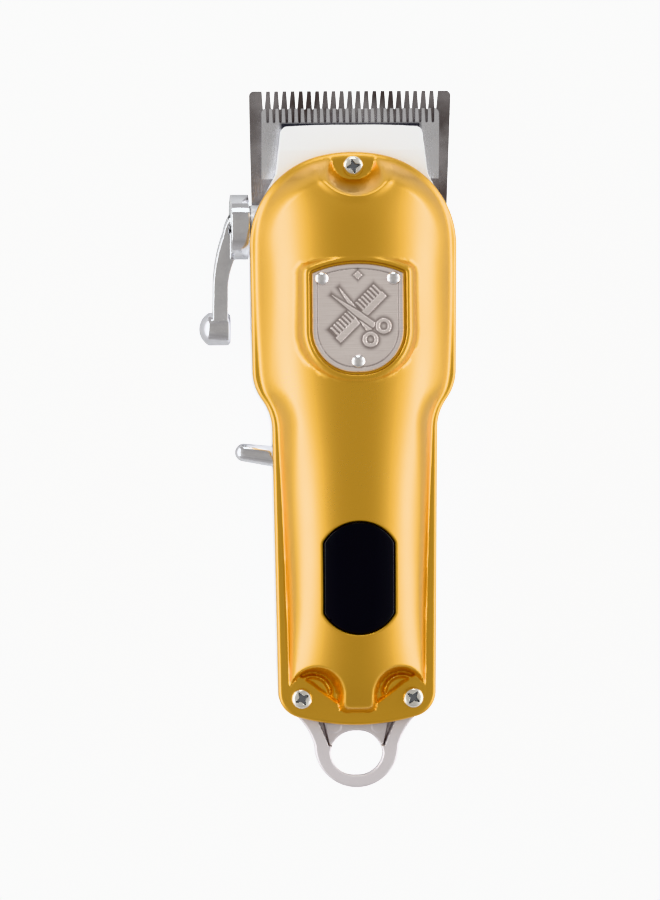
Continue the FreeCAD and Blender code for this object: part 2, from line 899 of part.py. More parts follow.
def make_blades():
    """The fixed blade, the cutter over it and the screws that hold the blade."""
    fixed_comb = comb(
        "fixed_comb", "blade_half", "blade_heel_half", "0", "blade_length", "blade_thickness",
        "0", ("blade_pitch", "blade_gap_tip", "blade_gap_root", "blade_tooth", 22),
    )
    bevel = side_prism(
        "fixed_bevel",
        [("1", "-blade_edge"), ("0", "-blade_edge"), ("-blade_bevel", "-blade_thickness"),
         ("-blade_bevel", "-6"), ("1", "-6")],
        "60",
    )
    screw_holes = [
        rod(f"blade_hole_{i}", "1.5", "6", (x, "-blade_screw_place", "-4"))
        for i, x in enumerate(("blade_screw_across", "-blade_screw_across"), start=1)
    ]
    fixed = in_blade_plane(cut("fixed_blade", fixed_comb, bevel, *screw_holes))
    cutter_comb = comb(
        "cutter_comb", "cutter_half", "cutter_half", "cutter_front", "cutter_rear",
        "cutter_thickness", "cutter_lift",
        ("cutter_pitch", "cutter_gap_tip", "cutter_gap_root", "cutter_tooth", 27),
    )
    slope = side_prism(
        "cutter_slope",
        [("-cutter_front + 1", "0.7"), ("-cutter_front", "0.7"),
         ("-cutter_front - cutter_tooth", "cutter_thickness + 0.04"),
         ("-cutter_front - cutter_tooth", "5"), ("-cutter_front + 1", "5")],
        "60",
    )
    sockets = [
        rod(f"cutter_socket_{i}", "1.05", "3", (x, "-18", "0.7"))
        for i, x in enumerate(("-6", "6"), start=1)
    ]
    cutter = in_blade_plane(cut("moving_blade", cutter_comb, slope, *sockets))

    top = "cutter_thickness + cutter_lift"
    arms = block("carrier_plate", ("-9", "-25.4", f"{top} + 0.15"), ("9", "-20.4", f"{top} + 1.4"))
    base = block("carrier_base", ("-9", "-20.4", top), ("9", "-16", f"{top} + 1.4"))
    prongs = [
        block(f"carrier_prong_{i}", (low, "-25.4", top + "+ 0.5"), (high, "-22.6", "7.5"))
        for i, (low, high) in enumerate((("-5.4", "-fork_half"), ("fork_half", "5.4")), start=1)
    ]
    pegs = [
        rod(f"carrier_peg_{i}", "1", "1.3", (x, "-18", "0.8"))
        for i, x in enumerate(("-6", "6"), start=1)
    ]
    fork = block("carrier_fork", ("-fork_half", "-26", "0"), ("fork_half", "-20.9", "9"))
    solid = fuse("carrier_solid", arms, base, *prongs, *pegs)
    carrier = in_blade_plane(cut("cutter_carrier", solid, fork))

    slide = block("slide_plate", ("-11.5", "-27.6", "0.05"), ("11.5", "-21.4", "1.75"))
    arm = block("slide_arm", ("-11.5", "-36.2", "0.05"), ("-9.2", "-27.6", "1.75"))
    ear = block("slide_ear", ("-11.5", "-36.2", "0.05"), ("-9.2", "-29.6", "8.6"))
    slot = block(
        "slide_slot",
        ("-14", f"{crank_along()} - crank_pin - 0.1", "2.6"),
        ("-6", f"{crank_along()} + crank_pin + 0.1", "9"),
    )
    carriage = in_blade_plane(cut("taper_slide", fuse("slide_solid", slide, arm, ear), slot))

    spring_profile = [
        ("-27.4", "1.8"), ("-26.3", "1.8"), ("-26.3", "3.75"), ("-17.4", "3.75"),
        ("-17.4", "4.2"), ("-26.8", "4.2"), ("-26.8", "2.25"), ("-27.4", "2.25"),
    ]
    leaf = side_prism("spring_leaf", spring_profile, "18")
    window = block("spring_window", ("-6.6", "-25.9", "3"), ("6.6", "-16", "9"))
    pin_room = block("spring_pin_room", ("-fork_half", "-27.2", "2.45"), ("fork_half", "-25", "9"))
    spring = in_blade_plane(cut("tension_spring", leaf, window, pin_room))

    screws = []
    for index, x in enumerate(("blade_screw_across", "-blade_screw_across"), start=1):
        screw = pan_screw(f"blade_screw_{index}", "2.7", "1.5", "1.22", "6.4")
        screw.Placement = Placement(
            Vector(worth(x), -worth("blade_screw_place"), -worth("blade_thickness")),
            Rotation(Vector(0, 1, 0), -90),
        )
        screws.append(screw)
    held = in_blade_plane(group("blade_screws", screws))
    return [fixed, cutter, carrier, carriage, spring, held]


def crank_along():
    """Where the lever's crank pin stands at rest, along the blade plane."""
    back = "(lever_place - tips_place)"
    up = "(lever_height - tips_height)"
    swing = "crank_throw * sin(lever_travel / 2)"
    return f"({back} * cos(blade_tilt) + {up} * sin(blade_tilt) - {swing})"


# ---------------------------------------------------------------- taper lever


def make_lever():
    """The chromed side lever, its washer and screw, and the crank that it turns."""
    hub = rod("lever_hub", "lever_hub", "4.1", ("-27.6", "0", "0"), "x")
    arm = new_body("lever_arm")
    outline = new_sketch(arm, level="0")
    draw_loop(
        outline,
        [
            ("-24.4", "2"),
            ("-27.5", "3"),
            ("-29.3", "-1.6", "-12"),
            ("-31.5", "-13", "-38"),
            ("-31.6", "-lever_reach"),
            ("-28.2", "-lever_reach"),
            ("-28.1", "-13"),
            ("-24.4", "-3", "20"),
        ],
    )
    pad(arm, outline, "lever_arm_width", both_ways=True)
    knob = turned(
        "lever_knob",
        [
            ("0", "0"),
            ("0", "knob_radius - 0.5"),
            ("0.5", "knob_radius"),
            ("knob_length - knob_dome", "knob_radius"),
            ("knob_length", "0", "(knob_radius^2 + knob_dome^2) / (2 * knob_dome)"),
        ],
    )
    knob.Placement = Placement(
        Vector(-27.5, -worth("lever_reach"), 0), Rotation(Vector(0, 0, 1), 180)
    )
    bind(knob, Placement__Base__y="-lever_reach")
    counterbore = rod("lever_counterbore", "2.9", "1.9", ("-28", "0", "0"), "x")
    through = rod("lever_through", "1.55", "6", ("-28", "0", "0"), "x")
    lever = cut("taper_lever", fuse("lever_solid", hub, arm, knob), counterbore, through)
    screw = pan_screw("lever_screw", "2.6", "1.3", "1.5", "6")
    screw.Placement = Placement(Vector(-26.1, 0, 0), Rotation())
    shaft = rod("crank_shaft", "lever_shaft", "9", ("-23.45", "0", "0"), "x")
    thread = rod("crank_thread", "1.5", "4.4", ("-24", "0", "0"), "x")
    swing = "(lever_travel / 2 + blade_tilt - lever_droop)"
    cheek = new_body("crank_cheek")
    cheek_sketch = new_sketch(cheek, "YZ_Plane", "-14.45")
    corners = []
    for out, side in (("-2.6", "-2.2"), ("crank_throw + 1.9", "-2.2"),
                      ("crank_throw + 1.9", "2.2"), ("-2.6", "2.2")):
        across = f"({out}) * -sin{swing} + ({side}) * cos{swing}"
        corners.append((across, f"({out}) * cos{swing} + ({side}) * sin{swing}"))
    draw_loop(cheek_sketch, corners)
    pad(cheek, cheek_sketch, "1.5")
    pin_place = ("-12.95", f"crank_throw * -sin{swing}", f"crank_throw * cos{swing}")
    pin = rod("crank_pin_rod", "crank_pin", "4", pin_place, "x")
    crank = cut("lever_crank", fuse("crank_solid", shaft, cheek, pin), thread)
    for thing, droop in ((lever, True), (screw, True), (crank, True)):
        turn = Placement(
            Vector(0, worth("lever_place"), worth("lever_height")),
            Rotation(Vector(1, 0, 0), worth("lever_droop")),
        )
        thing.Placement = turn.multiply(thing.Placement)
    ring = rod("washer_ring", "4.9", "0.3", ("-23.4", "lever_place", "lever_height"), "x")
    eye = rod("washer_eye", "3.1", "2", ("-24", "lever_place", "lever_height"), "x")
    return [lever, screw, crank, cut("lever_washer", ring, eye)]


# ---------------------------------------------------------------- drive


def make_drive():
    """The motor on its mount, and the shaft with the eccentric that swings the cutter."""
    length = "(motor_front - motor_back)"
    can = turned(
        "motor_can",
        [
            ("3", "1.4"), ("3", "motor_radius - 1.2"), ("4.2", "motor_radius"),
            (f"{length} - 0.8", "motor_radius"), (length, "motor_radius - 0.8"),
            (length, "3.2"), (f"{length} + 1.4", "3.2"), (f"{length} + 1.4", "1.4"),
        ],
    )
    along_y(can, "0", "motor_back", "motor_axis")
    cap = turned(
        "motor_end_cap",
        [("0", "0"), ("0", "motor_radius - 2.4"), ("2.98", "motor_radius - 1.6"), ("2.98", "0")],
    )
    along_y(cap, "0", "motor_back", "motor_axis")
    shaft = turned(
        "motor_shaft",
        [("3.4", "0"), ("3.4", "shaft_radius"), ("38", "shaft_radius"), ("38", "0")],
    )
    along_y(shaft, "0", "motor_back", "motor_axis")
    hub = rod("eccentric_hub", "3.2", "4.6", ("0", "46", "motor_axis"), "y")
    weight = rod("eccentric_weight", "4.3", "2.4", ("0", "48.2", "motor_axis"), "y")
    pin_foot = ("0", "50.5", "motor_axis + eccentric_throw")
    pin = rod("eccentric_crank", "eccentric_pin", "8", pin_foot, "y")
    bore = rod("eccentric_bore", "shaft_radius", "4.02", ("0", "46", "motor_axis"), "y")
    eccentric = cut("drive_eccentric", fuse("eccentric_solid", hub, weight, pin), bore)
    plate = block("mount_plate", ("-14", "motor_front + 0.05", "4.6"), ("14", "motor_front + 2", "28"))
    window = rod("mount_window", "3.3", "4", ("0", "39.9", "motor_axis"), "y")
    holes = [
        rod(f"mount_hole_{i}", "1.05", "4", (x, "39.9", "motor_axis"), "y")
        for i, x in enumerate(("-7.5", "7.5"), start=1)
    ]
    mount = cut("motor_mount", plate, window, *holes)
    screws = []
    for index, x in enumerate(("-7.5", "7.5"), start=1):
        screw = pan_screw(f"motor_screw_{index}", "1.9", "1.1", "1", "1.9")
        screw.Placement = Placement(
            Vector(worth(x), worth("motor_front + 2"), worth("motor_axis")),
            Rotation(Vector(0, 0, 1), -90),
        )
        screws.append(screw)
    return [can, cap, shaft, eccentric, mount, group("motor_screws", screws)]


# ---------------------------------------------------------------- electrics


def make_electrics():
    """Battery in its cradle, board with display, toggle switch and charging socket."""
    x, z = "battery_across", "battery_height"
    cell = rod("battery_can", "battery_radius", "battery_front - battery_back - 1.2",
               (x, "battery_back", z), "y")
    button = rod("battery_button", "2.6", "1.2", (x, "battery_front - 1.2", z), "y")
    battery = fuse("battery_cell", cell, button)
    tabs = group("battery_tabs", [
        block("battery_tab_minus", (f"{x} - 3", "battery_back - 0.3", f"{z} - 4"),
              (f"{x} + 3", "battery_back", "board_level - 0.2")),
        block("battery_tab_plus", (f"{x} - 3", "battery_front", f"{z} - 4"),
              (f"{x} + 3", "battery_front + 0.3", "board_level - 0.2")),
    ])
    body = block("cradle_body", (f"{x} - 9", "-48.5", "2.4"), (f"{x} + 9", "-1.6", "board_level"))
    bed = rod("cradle_bed", "battery_radius + 0.1", "60", (x, "-55", z), "y")
    mouth = block("cradle_mouth", (f"{x} - battery_radius - 0.1", "-55", z),
                  (f"{x} + battery_radius + 0.1", "5", "board_level + 1"))
    screw_spots = [(f"{x} + {dx}", y) for dx in ("-8", "8") for y in ("-46", "-4.4")]
    posts = [rod(f"cradle_hole_{i}", "0.7", "7", (sx, sy, "board_level - 6"))
             for i, (sx, sy) in enumerate(screw_spots, start=1)]
    cradle = cut("battery_cradle", body, bed, mouth, *posts)
    board_plan = block("board_plan", ("-11", "-50.5", "board_level"),
                       ("14", "4", "board_level + board_thickness"))
    board_holes = [rod(f"board_hole_{i}", "0.9", "4", (sx, sy, "board_level - 1"))
                   for i, (sx, sy) in enumerate(screw_spots, start=1)]
    board = cut("circuit_board", board_plan, *board_holes)
    screws = []
    for index, (sx, sy) in enumerate(screw_spots, start=1):
        screw = pan_screw(f"board_screw_{index}", "1.6", "0.9", "0.68", "5")
        screws.append(along_z(screw, sx, sy, "board_level + board_thickness"))
    top = "board_level + board_thickness"
    display = block("display_module", ("-6.6", "-42.5", top), ("6.6", "-20.6", "29.4"))
    case = block("switch_case", ("-16.3", "switch_place - 5", "switch_height - 5"),
                 ("-6.2", "switch_place + 5", "switch_height + 5"))
    cup = rod("switch_cup", "3.2", "6.4", ("-17", "switch_place", "switch_height"), "x")
    switch_body = cut("switch_body", case, cup)
    handle = turned(
        "toggle_handle",
        [("-2.3", "0"), ("-2.3", "1.2"), ("0", "2.35", "3.2"), ("2.6", "2.4"),
         ("10.7 - toggle_dome", "toggle_tip"),
         ("10.7", "0", "(toggle_tip^2 + toggle_dome^2) / (2 * toggle_dome)")],
    )
    handle.Placement = Placement(
        Vector(worth("switch_pivot"), worth("switch_place"), worth("switch_height")),
        Rotation(Vector(0, 0, 1), 180 - worth("switch_lean")),
    )
    axle = rod("toggle_axle", "0.7", "5.8",
               ("switch_pivot", "switch_place", "switch_height - 2.9"))
    toggle = fuse("power_switch", handle, axle)
    shell = rod("socket_shell", "socket_radius - 0.05", "9.6", ("0", "-64.5", "socket_height"), "y")
    bore = rod("socket_bore_hole", "socket_bore", "8", ("0", "-65", "socket_height"), "y")
    pin = rod("socket_pin", "0.85", "7.6", ("0", "-63.6", "socket_height"), "y")
    socket = fuse("charging_socket", cut("socket_body", shell, bore), pin)
    return [battery, tabs, cradle, board, group("board_screws", screws), display, switch_body,
            toggle, socket]


def write_parts(sub_parts):
    """Checks every object and sub-part, and writes each sub-part's file."""
    doc.recompute()
    faulty = [
        thing.Name
        for thing in doc.Objects
        if "Invalid" in thing.State or "Error" in thing.State
    ]
    if faulty:
        raise RuntimeError(f"failed: {faulty}")
    os.makedirs("parts", exist_ok=True)
    for part in sub_parts:
        shape = part.Shape
        if shape.isNull() or not shape.isValid():
            raise RuntimeError(f"{part.Label} has no valid shape")
        shape.exportStep(f"parts/{part.Label}.step")
        box = shape.BoundBox
        print(
            f"{part.Label:22s} solids {len(shape.Solids)} volume {shape.Volume:9.1f} "
            f"x {box.XMin:.2f} {box.XMax:.2f} y {box.YMin:.2f} {box.YMax:.2f} "
            f"z {box.ZMin:.2f} {box.ZMax:.2f}"
        )


write_parts(
    make_cover()
    + make_badge()
    + make_cover_screws()
    + make_housing()
    + make_blades()
    + make_lever()
    + make_drive()
    + make_electrics()
)
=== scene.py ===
import json
import logging
import math
from collections import Counter
from dataclasses import dataclass, field
from enum import Enum
from typing import Callable, ClassVar, Optional

import bpy
import numpy as np
from mathutils import Matrix, Vector, geometry

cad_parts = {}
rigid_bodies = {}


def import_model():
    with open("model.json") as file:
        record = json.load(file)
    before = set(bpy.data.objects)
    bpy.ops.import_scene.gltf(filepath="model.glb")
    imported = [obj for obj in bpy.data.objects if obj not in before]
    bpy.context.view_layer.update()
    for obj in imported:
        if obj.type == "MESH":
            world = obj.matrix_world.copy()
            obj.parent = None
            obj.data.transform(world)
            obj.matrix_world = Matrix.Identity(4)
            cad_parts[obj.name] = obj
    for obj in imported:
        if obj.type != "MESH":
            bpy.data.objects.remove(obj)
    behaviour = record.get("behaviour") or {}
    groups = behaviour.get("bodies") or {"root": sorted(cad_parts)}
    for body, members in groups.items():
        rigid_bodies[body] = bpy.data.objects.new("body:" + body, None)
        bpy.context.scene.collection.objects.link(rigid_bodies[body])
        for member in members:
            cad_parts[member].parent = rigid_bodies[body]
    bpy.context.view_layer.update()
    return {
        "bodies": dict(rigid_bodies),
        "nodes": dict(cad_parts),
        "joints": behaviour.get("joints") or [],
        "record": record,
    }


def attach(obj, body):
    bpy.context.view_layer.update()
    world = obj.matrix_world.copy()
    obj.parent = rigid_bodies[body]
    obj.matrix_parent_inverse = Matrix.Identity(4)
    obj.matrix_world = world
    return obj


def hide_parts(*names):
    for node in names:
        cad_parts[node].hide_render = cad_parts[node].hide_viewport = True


# A cordless hair clipper lying on its back: +Y runs towards the blades, +Z out of the gold cover.
# Sizes in this file are millimetres; MM turns them into the metres of the frame.

MM = 0.001
LOG = logging.getLogger("hair_clipper")
Plan = np.ndarray
Heights = Callable[[Plan], tuple[Plan, Plan]]


# ---------------------------------------------------------------- plan curves


def soft_min(first: Plan, second: Plan, blend: float) -> Plan:
    """The smaller of two heights, with a round fillet where they cross.

    Args:
        first: Heights of one surface.
        second: Heights of the other surface.
        blend: Width of the fillet, in millimetres of height.

    Returns:
        The blended heights.
    """
    share = np.clip(0.5 + 0.5 * (second - first) / blend, 0.0, 1.0)
    return second * (1 - share) + first * share - blend * share * (1 - share)


def soft_max(first: Plan, second: Plan, blend: float) -> Plan:
    """The larger of two heights, with a round fillet where they cross."""
    return -soft_min(-first, -second, blend)


def ramp(value: Plan, start: float, end: float) -> Plan:
    """An S-curve from 0 where value is start to 1 where it is end, which may be the lower one."""
    held = np.clip((value - start) / (end - start), 0.0, 1.0)
    return held * held * (3 - 2 * held)


def rounding(distance: Plan, radius: float, depth: float) -> Plan:
    """How far a round edge falls away at a distance from the edge line."""
    near = np.clip(1 - distance / radius, 0.0, 1.0)
    return depth * (1 - np.sqrt(1 - near * near))


def bead(distance: Plan, half_width: float) -> Plan:
    """A rounded ridge of height 1 where distance is 0."""
    return np.exp(-((distance / half_width) ** 2))


def sweep_arc(start: Plan, end: Plan, radius: float, step: float) -> list[Plan]:
    """Points of the shorter arc from start to end, without its start.

    Args:
        start: First end of the arc.
        end: Last end of the arc.
        radius: Radius, positive where the arc turns clockwise and 0 for a straight line.
        step: Largest distance between two points.

    Returns:
        The points, ending exactly at end.
    """
    chord = end - start
    half = float(np.hypot(*chord)) / 2
    if radius == 0.0:
        count = max(1, math.ceil(2 * half / step))
        return [start + chord * (i + 1) / count for i in range(count)]
    reach = max(abs(radius), half)
    side = np.array([-chord[1], chord[0]]) / (2 * half) * math.copysign(1, radius)
    centre = (start + end) / 2 - side * math.sqrt(reach * reach - half * half)
    turn = -math.copysign(2 * math.asin(half / reach), radius)
    count = max(2, math.ceil(abs(turn) * reach / step))
    spoke = start - centre
    points = []
    for i in range(1, count + 1):
        angle = turn * i / count
        cos, sin = math.cos(angle), math.sin(angle)
        turned = np.array([spoke[0] * cos - spoke[1] * sin, spoke[0] * sin + spoke[1] * cos])
        points.append(centre + turned)
    points[-1] = end
    return points


def trace(right_half: list[tuple[float, ...]], step: float) -> Plan:
    """A closed loop symmetric about the Y axis, from its right half.

    Args:
        right_half: Corners (x, y) or (x, y, radius of the arc that ends there), which start and
            end on the axis.
        step: Largest distance between two points.

    Returns:
        The loop's points, one row each.
    """
    places = [np.array(corner[:2], float) for corner in right_half]
    points = [places[0]]
    for index in range(1, len(places)):
        radius = right_half[index][2] if len(right_half[index]) > 2 else 0.0
        points += sweep_arc(places[index - 1], places[index], radius, step)
    right = np.array(points)
    left = right[-2:0:-1] * np.array([-1.0, 1.0])
    return np.vstack([right, left])


def evenly(loop: Plan, step: float) -> Plan:
    """The same closed loop with its points evenly spaced."""
    closed = np.vstack([loop, loop[:1]])
    travelled = np.concatenate([[0.0], np.cumsum(np.hypot(*np.diff(closed, axis=0).T))])
    count = max(8, round(travelled[-1] / step))
    stops = np.linspace(0, travelled[-1], count, endpoint=False)
    return np.column_stack([np.interp(stops, travelled, closed[:, axis]) for axis in (0, 1)])


def round_loop(x: float, y: float, radius: float, step: float) -> Plan:
    """A clockwise circle as a closed loop."""
    count = max(12, round(2 * math.pi * radius / step))
    angles = -np.arange(count) * 2 * math.pi / count
    return np.column_stack([x + radius * np.cos(angles), y + radius * np.sin(angles)])


def shifted(loop: Plan, outwards: float) -> Plan:
    """A clockwise loop moved along its own normals."""
    along = np.roll(loop, -1, axis=0) - np.roll(loop, 1, axis=0)
    normal = np.column_stack([-along[:, 1], along[:, 0]])
    normal /= np.hypot(*normal.T)[:, None]
    return loop + normal * outwards


def inside(points: Plan, loop: Plan) -> Plan:
    """True for the points that lie inside a closed loop."""
    x, y = points[:, 0], points[:, 1]
    found = np.zeros(len(points), bool)
    for start, end in zip(loop, np.roll(loop, -1, axis=0)):
        if start[1] == end[1]:
            continue
        crosses = (start[1] > y) != (end[1] > y)
        found ^= crosses & (x < start[0] + (end[0] - start[0]) * (y - start[1]) / (end[1] - start[1]))
    return found


def depth_in(points: Plan, loop: Plan) -> Plan:
    """Distance from each point to a loop, positive inside it and negative outside."""
    nearest = np.full(len(points), np.inf)
    for start, end in zip(loop, np.roll(loop, -1, axis=0)):
        run = end - start
        length = float(run @ run)
        share = np.clip(((points - start) @ run) / length, 0.0, 1.0) if length else 0.0
        off = points - start - np.outer(share, run)
        nearest = np.minimum(nearest, np.einsum("ij,ij->i", off, off))
    return np.sqrt(nearest) * np.where(inside(points, loop), 1.0, -1.0)


def grid_over(low: tuple[float, float], high: tuple[float, float], pitch: float) -> Plan:
    """Staggered points over a rectangle."""
    rows = np.arange(low[1], high[1], pitch * 0.87)
    points = []
    for index, y in enumerate(rows):
        xs = np.arange(low[0] + (index % 2) * pitch / 2, high[0], pitch)
        points.append(np.column_stack([xs, np.full(len(xs), y)]))
    return np.vstack(points)


def glide(places: list[float], values: list[float], at: Plan) -> Plan:
    """Values that pass smoothly through stations, as a spline does.

    Args:
        places: Rising station places.
        values: Value at each station.
        at: Places to read.

    Returns:
        The value at each place.
    """
    x, v = np.array(places), np.array(values)
    slopes = np.gradient(v, x)
    found = np.clip(np.searchsorted(x, at) - 1, 0, len(x) - 2)
    gap = x[found + 1] - x[found]
    t = np.clip((at - x[found]) / gap, 0.0, 1.0)
    return (
        v[found] * (1 + 2 * t) * (1 - t) ** 2
        + slopes[found] * gap * t * (1 - t) ** 2
        + v[found + 1] * t * t * (3 - 2 * t)
        + slopes[found + 1] * gap * t * t * (t - 1)
    )


# ---------------------------------------------------------------- pieces


def clear_selection() -> None:
    """Leaves nothing selected, so that operators act on the new piece alone."""
    bpy.ops.object.select_all(action="DESELECT")


def take(piece: bpy.types.Object) -> None:
    """Makes a piece the only selected and the active one."""
    clear_selection()
    piece.select_set(True)
    bpy.context.view_layer.objects.active = piece


def smooth(piece: bpy.types.Object, degrees: float = 38.0) -> None:
    """Shades a piece smooth except across sharp edges."""
    take(piece)
    bpy.ops.object.shade_smooth_by_angle(angle=math.radians(degrees))


def finish_with(piece: bpy.types.Object, kind: str, **settings: object) -> None:
    """Adds a modifier to a piece and applies it.

    Args:
        piece: The piece to change.
        kind: Type of the modifier.
        **settings: Its settings.
    """
    take(piece)
    modifier = piece.modifiers.new(kind.lower(), kind)
    for name, value in settings.items():
        setattr(modifier, name, value)
    bpy.ops.object.modifier_apply(modifier=modifier.name)


def places_of(piece: bpy.types.Object) -> Plan:
    """The places of a piece's vertices in millimetres, one row each."""
    places = np.empty(len(piece.data.vertices) * 3)
    piece.data.vertices.foreach_get("co", places)
    return places.reshape(-1, 3) / MM


def paint_shade(piece: bpy.types.Object, marks: Plan) -> None:
    """Stores how much painted shade each vertex of a piece carries, for its material: shade in recesses
    and round raised parts.
    """
    layer = piece.data.attributes.new("painted_shade", "FLOAT", "POINT")
    layer.data.foreach_set("value", marks.astype(np.float32))


@dataclass
class Mounting:
    """Where a finished piece belongs: its body, its record slot and the nodes it stands for."""

    body: str
    slot: str
    stands_for: tuple[str, ...]

    def fit(self, piece: bpy.types.Object, material: bpy.types.Material) -> None:
        """Dresses a piece and ties it to its body."""
        piece.data.materials.clear()
        piece.data.materials.append(material)
        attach(piece, self.body)
        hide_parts(*self.stands_for)
        LOG.info("%s rides on %s", piece.name, self.body)


@dataclass
class Relief:
    """A closed piece over a plan outline, with its own height above and below each place."""

    name: str
    outline: Plan
    openings: list[Plan] = field(default_factory=list)
    rings: list[Plan] = field(default_factory=list)
    scatter: Plan = field(default_factory=lambda: np.zeros((0, 2)))
    clearance: float = 0.3
    tolerance: ClassVar[float] = 1e-6
    merge_distance: ClassVar[float] = 1e-7

    def cell(self, place: Plan) -> tuple[int, int]:
        """The square of side clearance that a place lies in."""
        return int(place[0] // self.clearance), int(place[1] // self.clearance)

    def plan(self) -> tuple[Plan, list[tuple[int, int, int]]]:
        """Meshes the plan with triangles that follow every outline and ring.

        Returns:
            The places, one row each, and the triangles.
        """
        loops = [self.outline, *self.openings, *self.rings]
        fixed = np.vstack(loops)
        keep = inside(self.scatter, self.outline)
        for opening in self.openings:
            keep &= ~inside(self.scatter, opening)
        loose = self.scatter[keep]
        taken = {self.cell(place) for place in fixed}
        free = [place for place in loose if self.cell(place) not in taken]
        edges = []
        start = 0
        for loop in loops:
            count = len(loop)
            edges += [(start + i, start + (i + 1) % count) for i in range(count)]
            start += count
        places = [Vector(map(float, place)) for place in [*fixed, *free]]
        verts, _, faces = geometry.delaunay_2d_cdt(places, edges, [], 0, self.tolerance, False)[:3]
        plan = np.array([tuple(vert) for vert in verts])
        corners = np.array(faces)
        middles = plan[corners].mean(axis=1)
        wanted = inside(middles, self.outline)
        for opening in self.openings:
            wanted &= ~inside(middles, opening)
        return plan, [tuple(map(int, face)) for face in corners[wanted]]

    def build(self, heights: Heights) -> bpy.types.Object:
        """Builds the closed mesh.

        Args:
            heights: Gives the upper and the lower height at each row of places.

        Returns:
            The new object, in place.
        """
        plan, faces = self.plan()
        upper, lower = heights(plan)
        count = len(plan)
        sides = Counter()
        for face in faces:
            for i in range(3):
                sides[(face[i], face[(i + 1) % 3])] += 1
        rim = [(a, b) for a, b in sides if (b, a) not in sides]
        walls = [(a, a + count, b + count, b) for a, b in rim]
        below = [tuple(corner + count for corner in reversed(face)) for face in faces]
        points = np.vstack([np.column_stack([plan, upper]), np.column_stack([plan, lower])]) * MM
        mesh = bpy.data.meshes.new(self.name)
        mesh.from_pydata(points.tolist(), [], [*faces, *below, *walls])
        mesh.validate()
        mesh.update()
        piece = bpy.data.objects.new(self.name, mesh)
        bpy.context.scene.collection.objects.link(piece)
        take(piece)
        bpy.ops.object.mode_set(mode="EDIT")
        bpy.ops.mesh.select_all(action="SELECT")
        bpy.ops.mesh.remove_doubles(threshold=self.merge_distance)
        bpy.ops.mesh.normals_make_consistent(inside=False)
        bpy.ops.object.mode_set(mode="OBJECT")
        smooth(piece)
        return piece


# ---------------------------------------------------------------- shader groups


class Detail(Enum):
    """The shared surface effects, each one a node group."""

    CAST = "cast_grain"
    BRUSHED = "brushed_grain"
    EDGES = "edge_wear_and_highlight"


def add_socket(tree: bpy.types.NodeTree, name: str, kind: str, out: bool, value: object = None) -> None:
    """Adds one socket to a node group's interface."""
    socket = tree.interface.new_socket(
        name=name, in_out="OUTPUT" if out else "INPUT", socket_type=f"NodeSocket{kind}"
    )
    if value is not None:
        socket.default_value = value


class Wiring:
    """A node tree with short calls to add nodes and join them."""

    def __init__(self, tree: bpy.types.NodeTree) -> None:
        """Starts on a tree."""
        self.tree = tree

    def add(self, kind: str, **settings: object) -> bpy.types.Node:
        """Adds a node; a setting named for an input socket sets or joins that socket.

        Args:
            kind: Node type without the ShaderNode prefix.
            **settings: Properties, and in_NUMBER or in_Name sockets with values or sockets.

        Returns:
            The node.
        """
        full = kind if kind.startswith("NodeGroup") else f"ShaderNode{kind}"
        node = self.tree.nodes.new(full)
        for name, value in settings.items():
            if name.startswith("in_"):
                key = name[3:]
                socket = node.inputs[int(key)] if key.isdigit() else node.inputs[key.replace("_", " ")]
                self.put(socket, value)
            else:
                setattr(node, name, value)
        return node

    def put(self, socket: bpy.types.NodeSocket, value: object) -> None:
        """Joins a socket to another one, or sets its value."""
        if isinstance(value, bpy.types.NodeSocket):
            self.tree.links.new(value, socket)
        else:
            socket.default_value = value

    def mix(self, share: object, first: object, second: object) -> bpy.types.NodeSocket:
        """A colour mix by a share.

        Args:
            share: Number or socket, 0 for the first colour.
            first: Colour or socket.
            second: Colour or socket.

        Returns:
            The mixed colour's socket.
        """
        node = self.tree.nodes.new("ShaderNodeMix")
        node.data_type = "RGBA"
        for key, value in ((0, share), (6, first), (7, second)):
            self.put(node.inputs[key], value)
        return node.outputs[2]

    def math(self, operation: str, first: object, second: object = 0.0) -> bpy.types.NodeSocket:
        """The result of a Math node."""
        return self.add("Math", operation=operation, in_0=first, in_1=second).outputs[0]

    def span(self, value: object, low: float, high: float, start: float = 0.0, end: float = 1.0
             ) -> bpy.types.NodeSocket:
        """A value moved from the range start..end to the range low..high."""
        node = self.add("MapRange", in_0=value, in_1=start, in_2=end, in_3=low, in_4=high)
        return node.outputs[0]


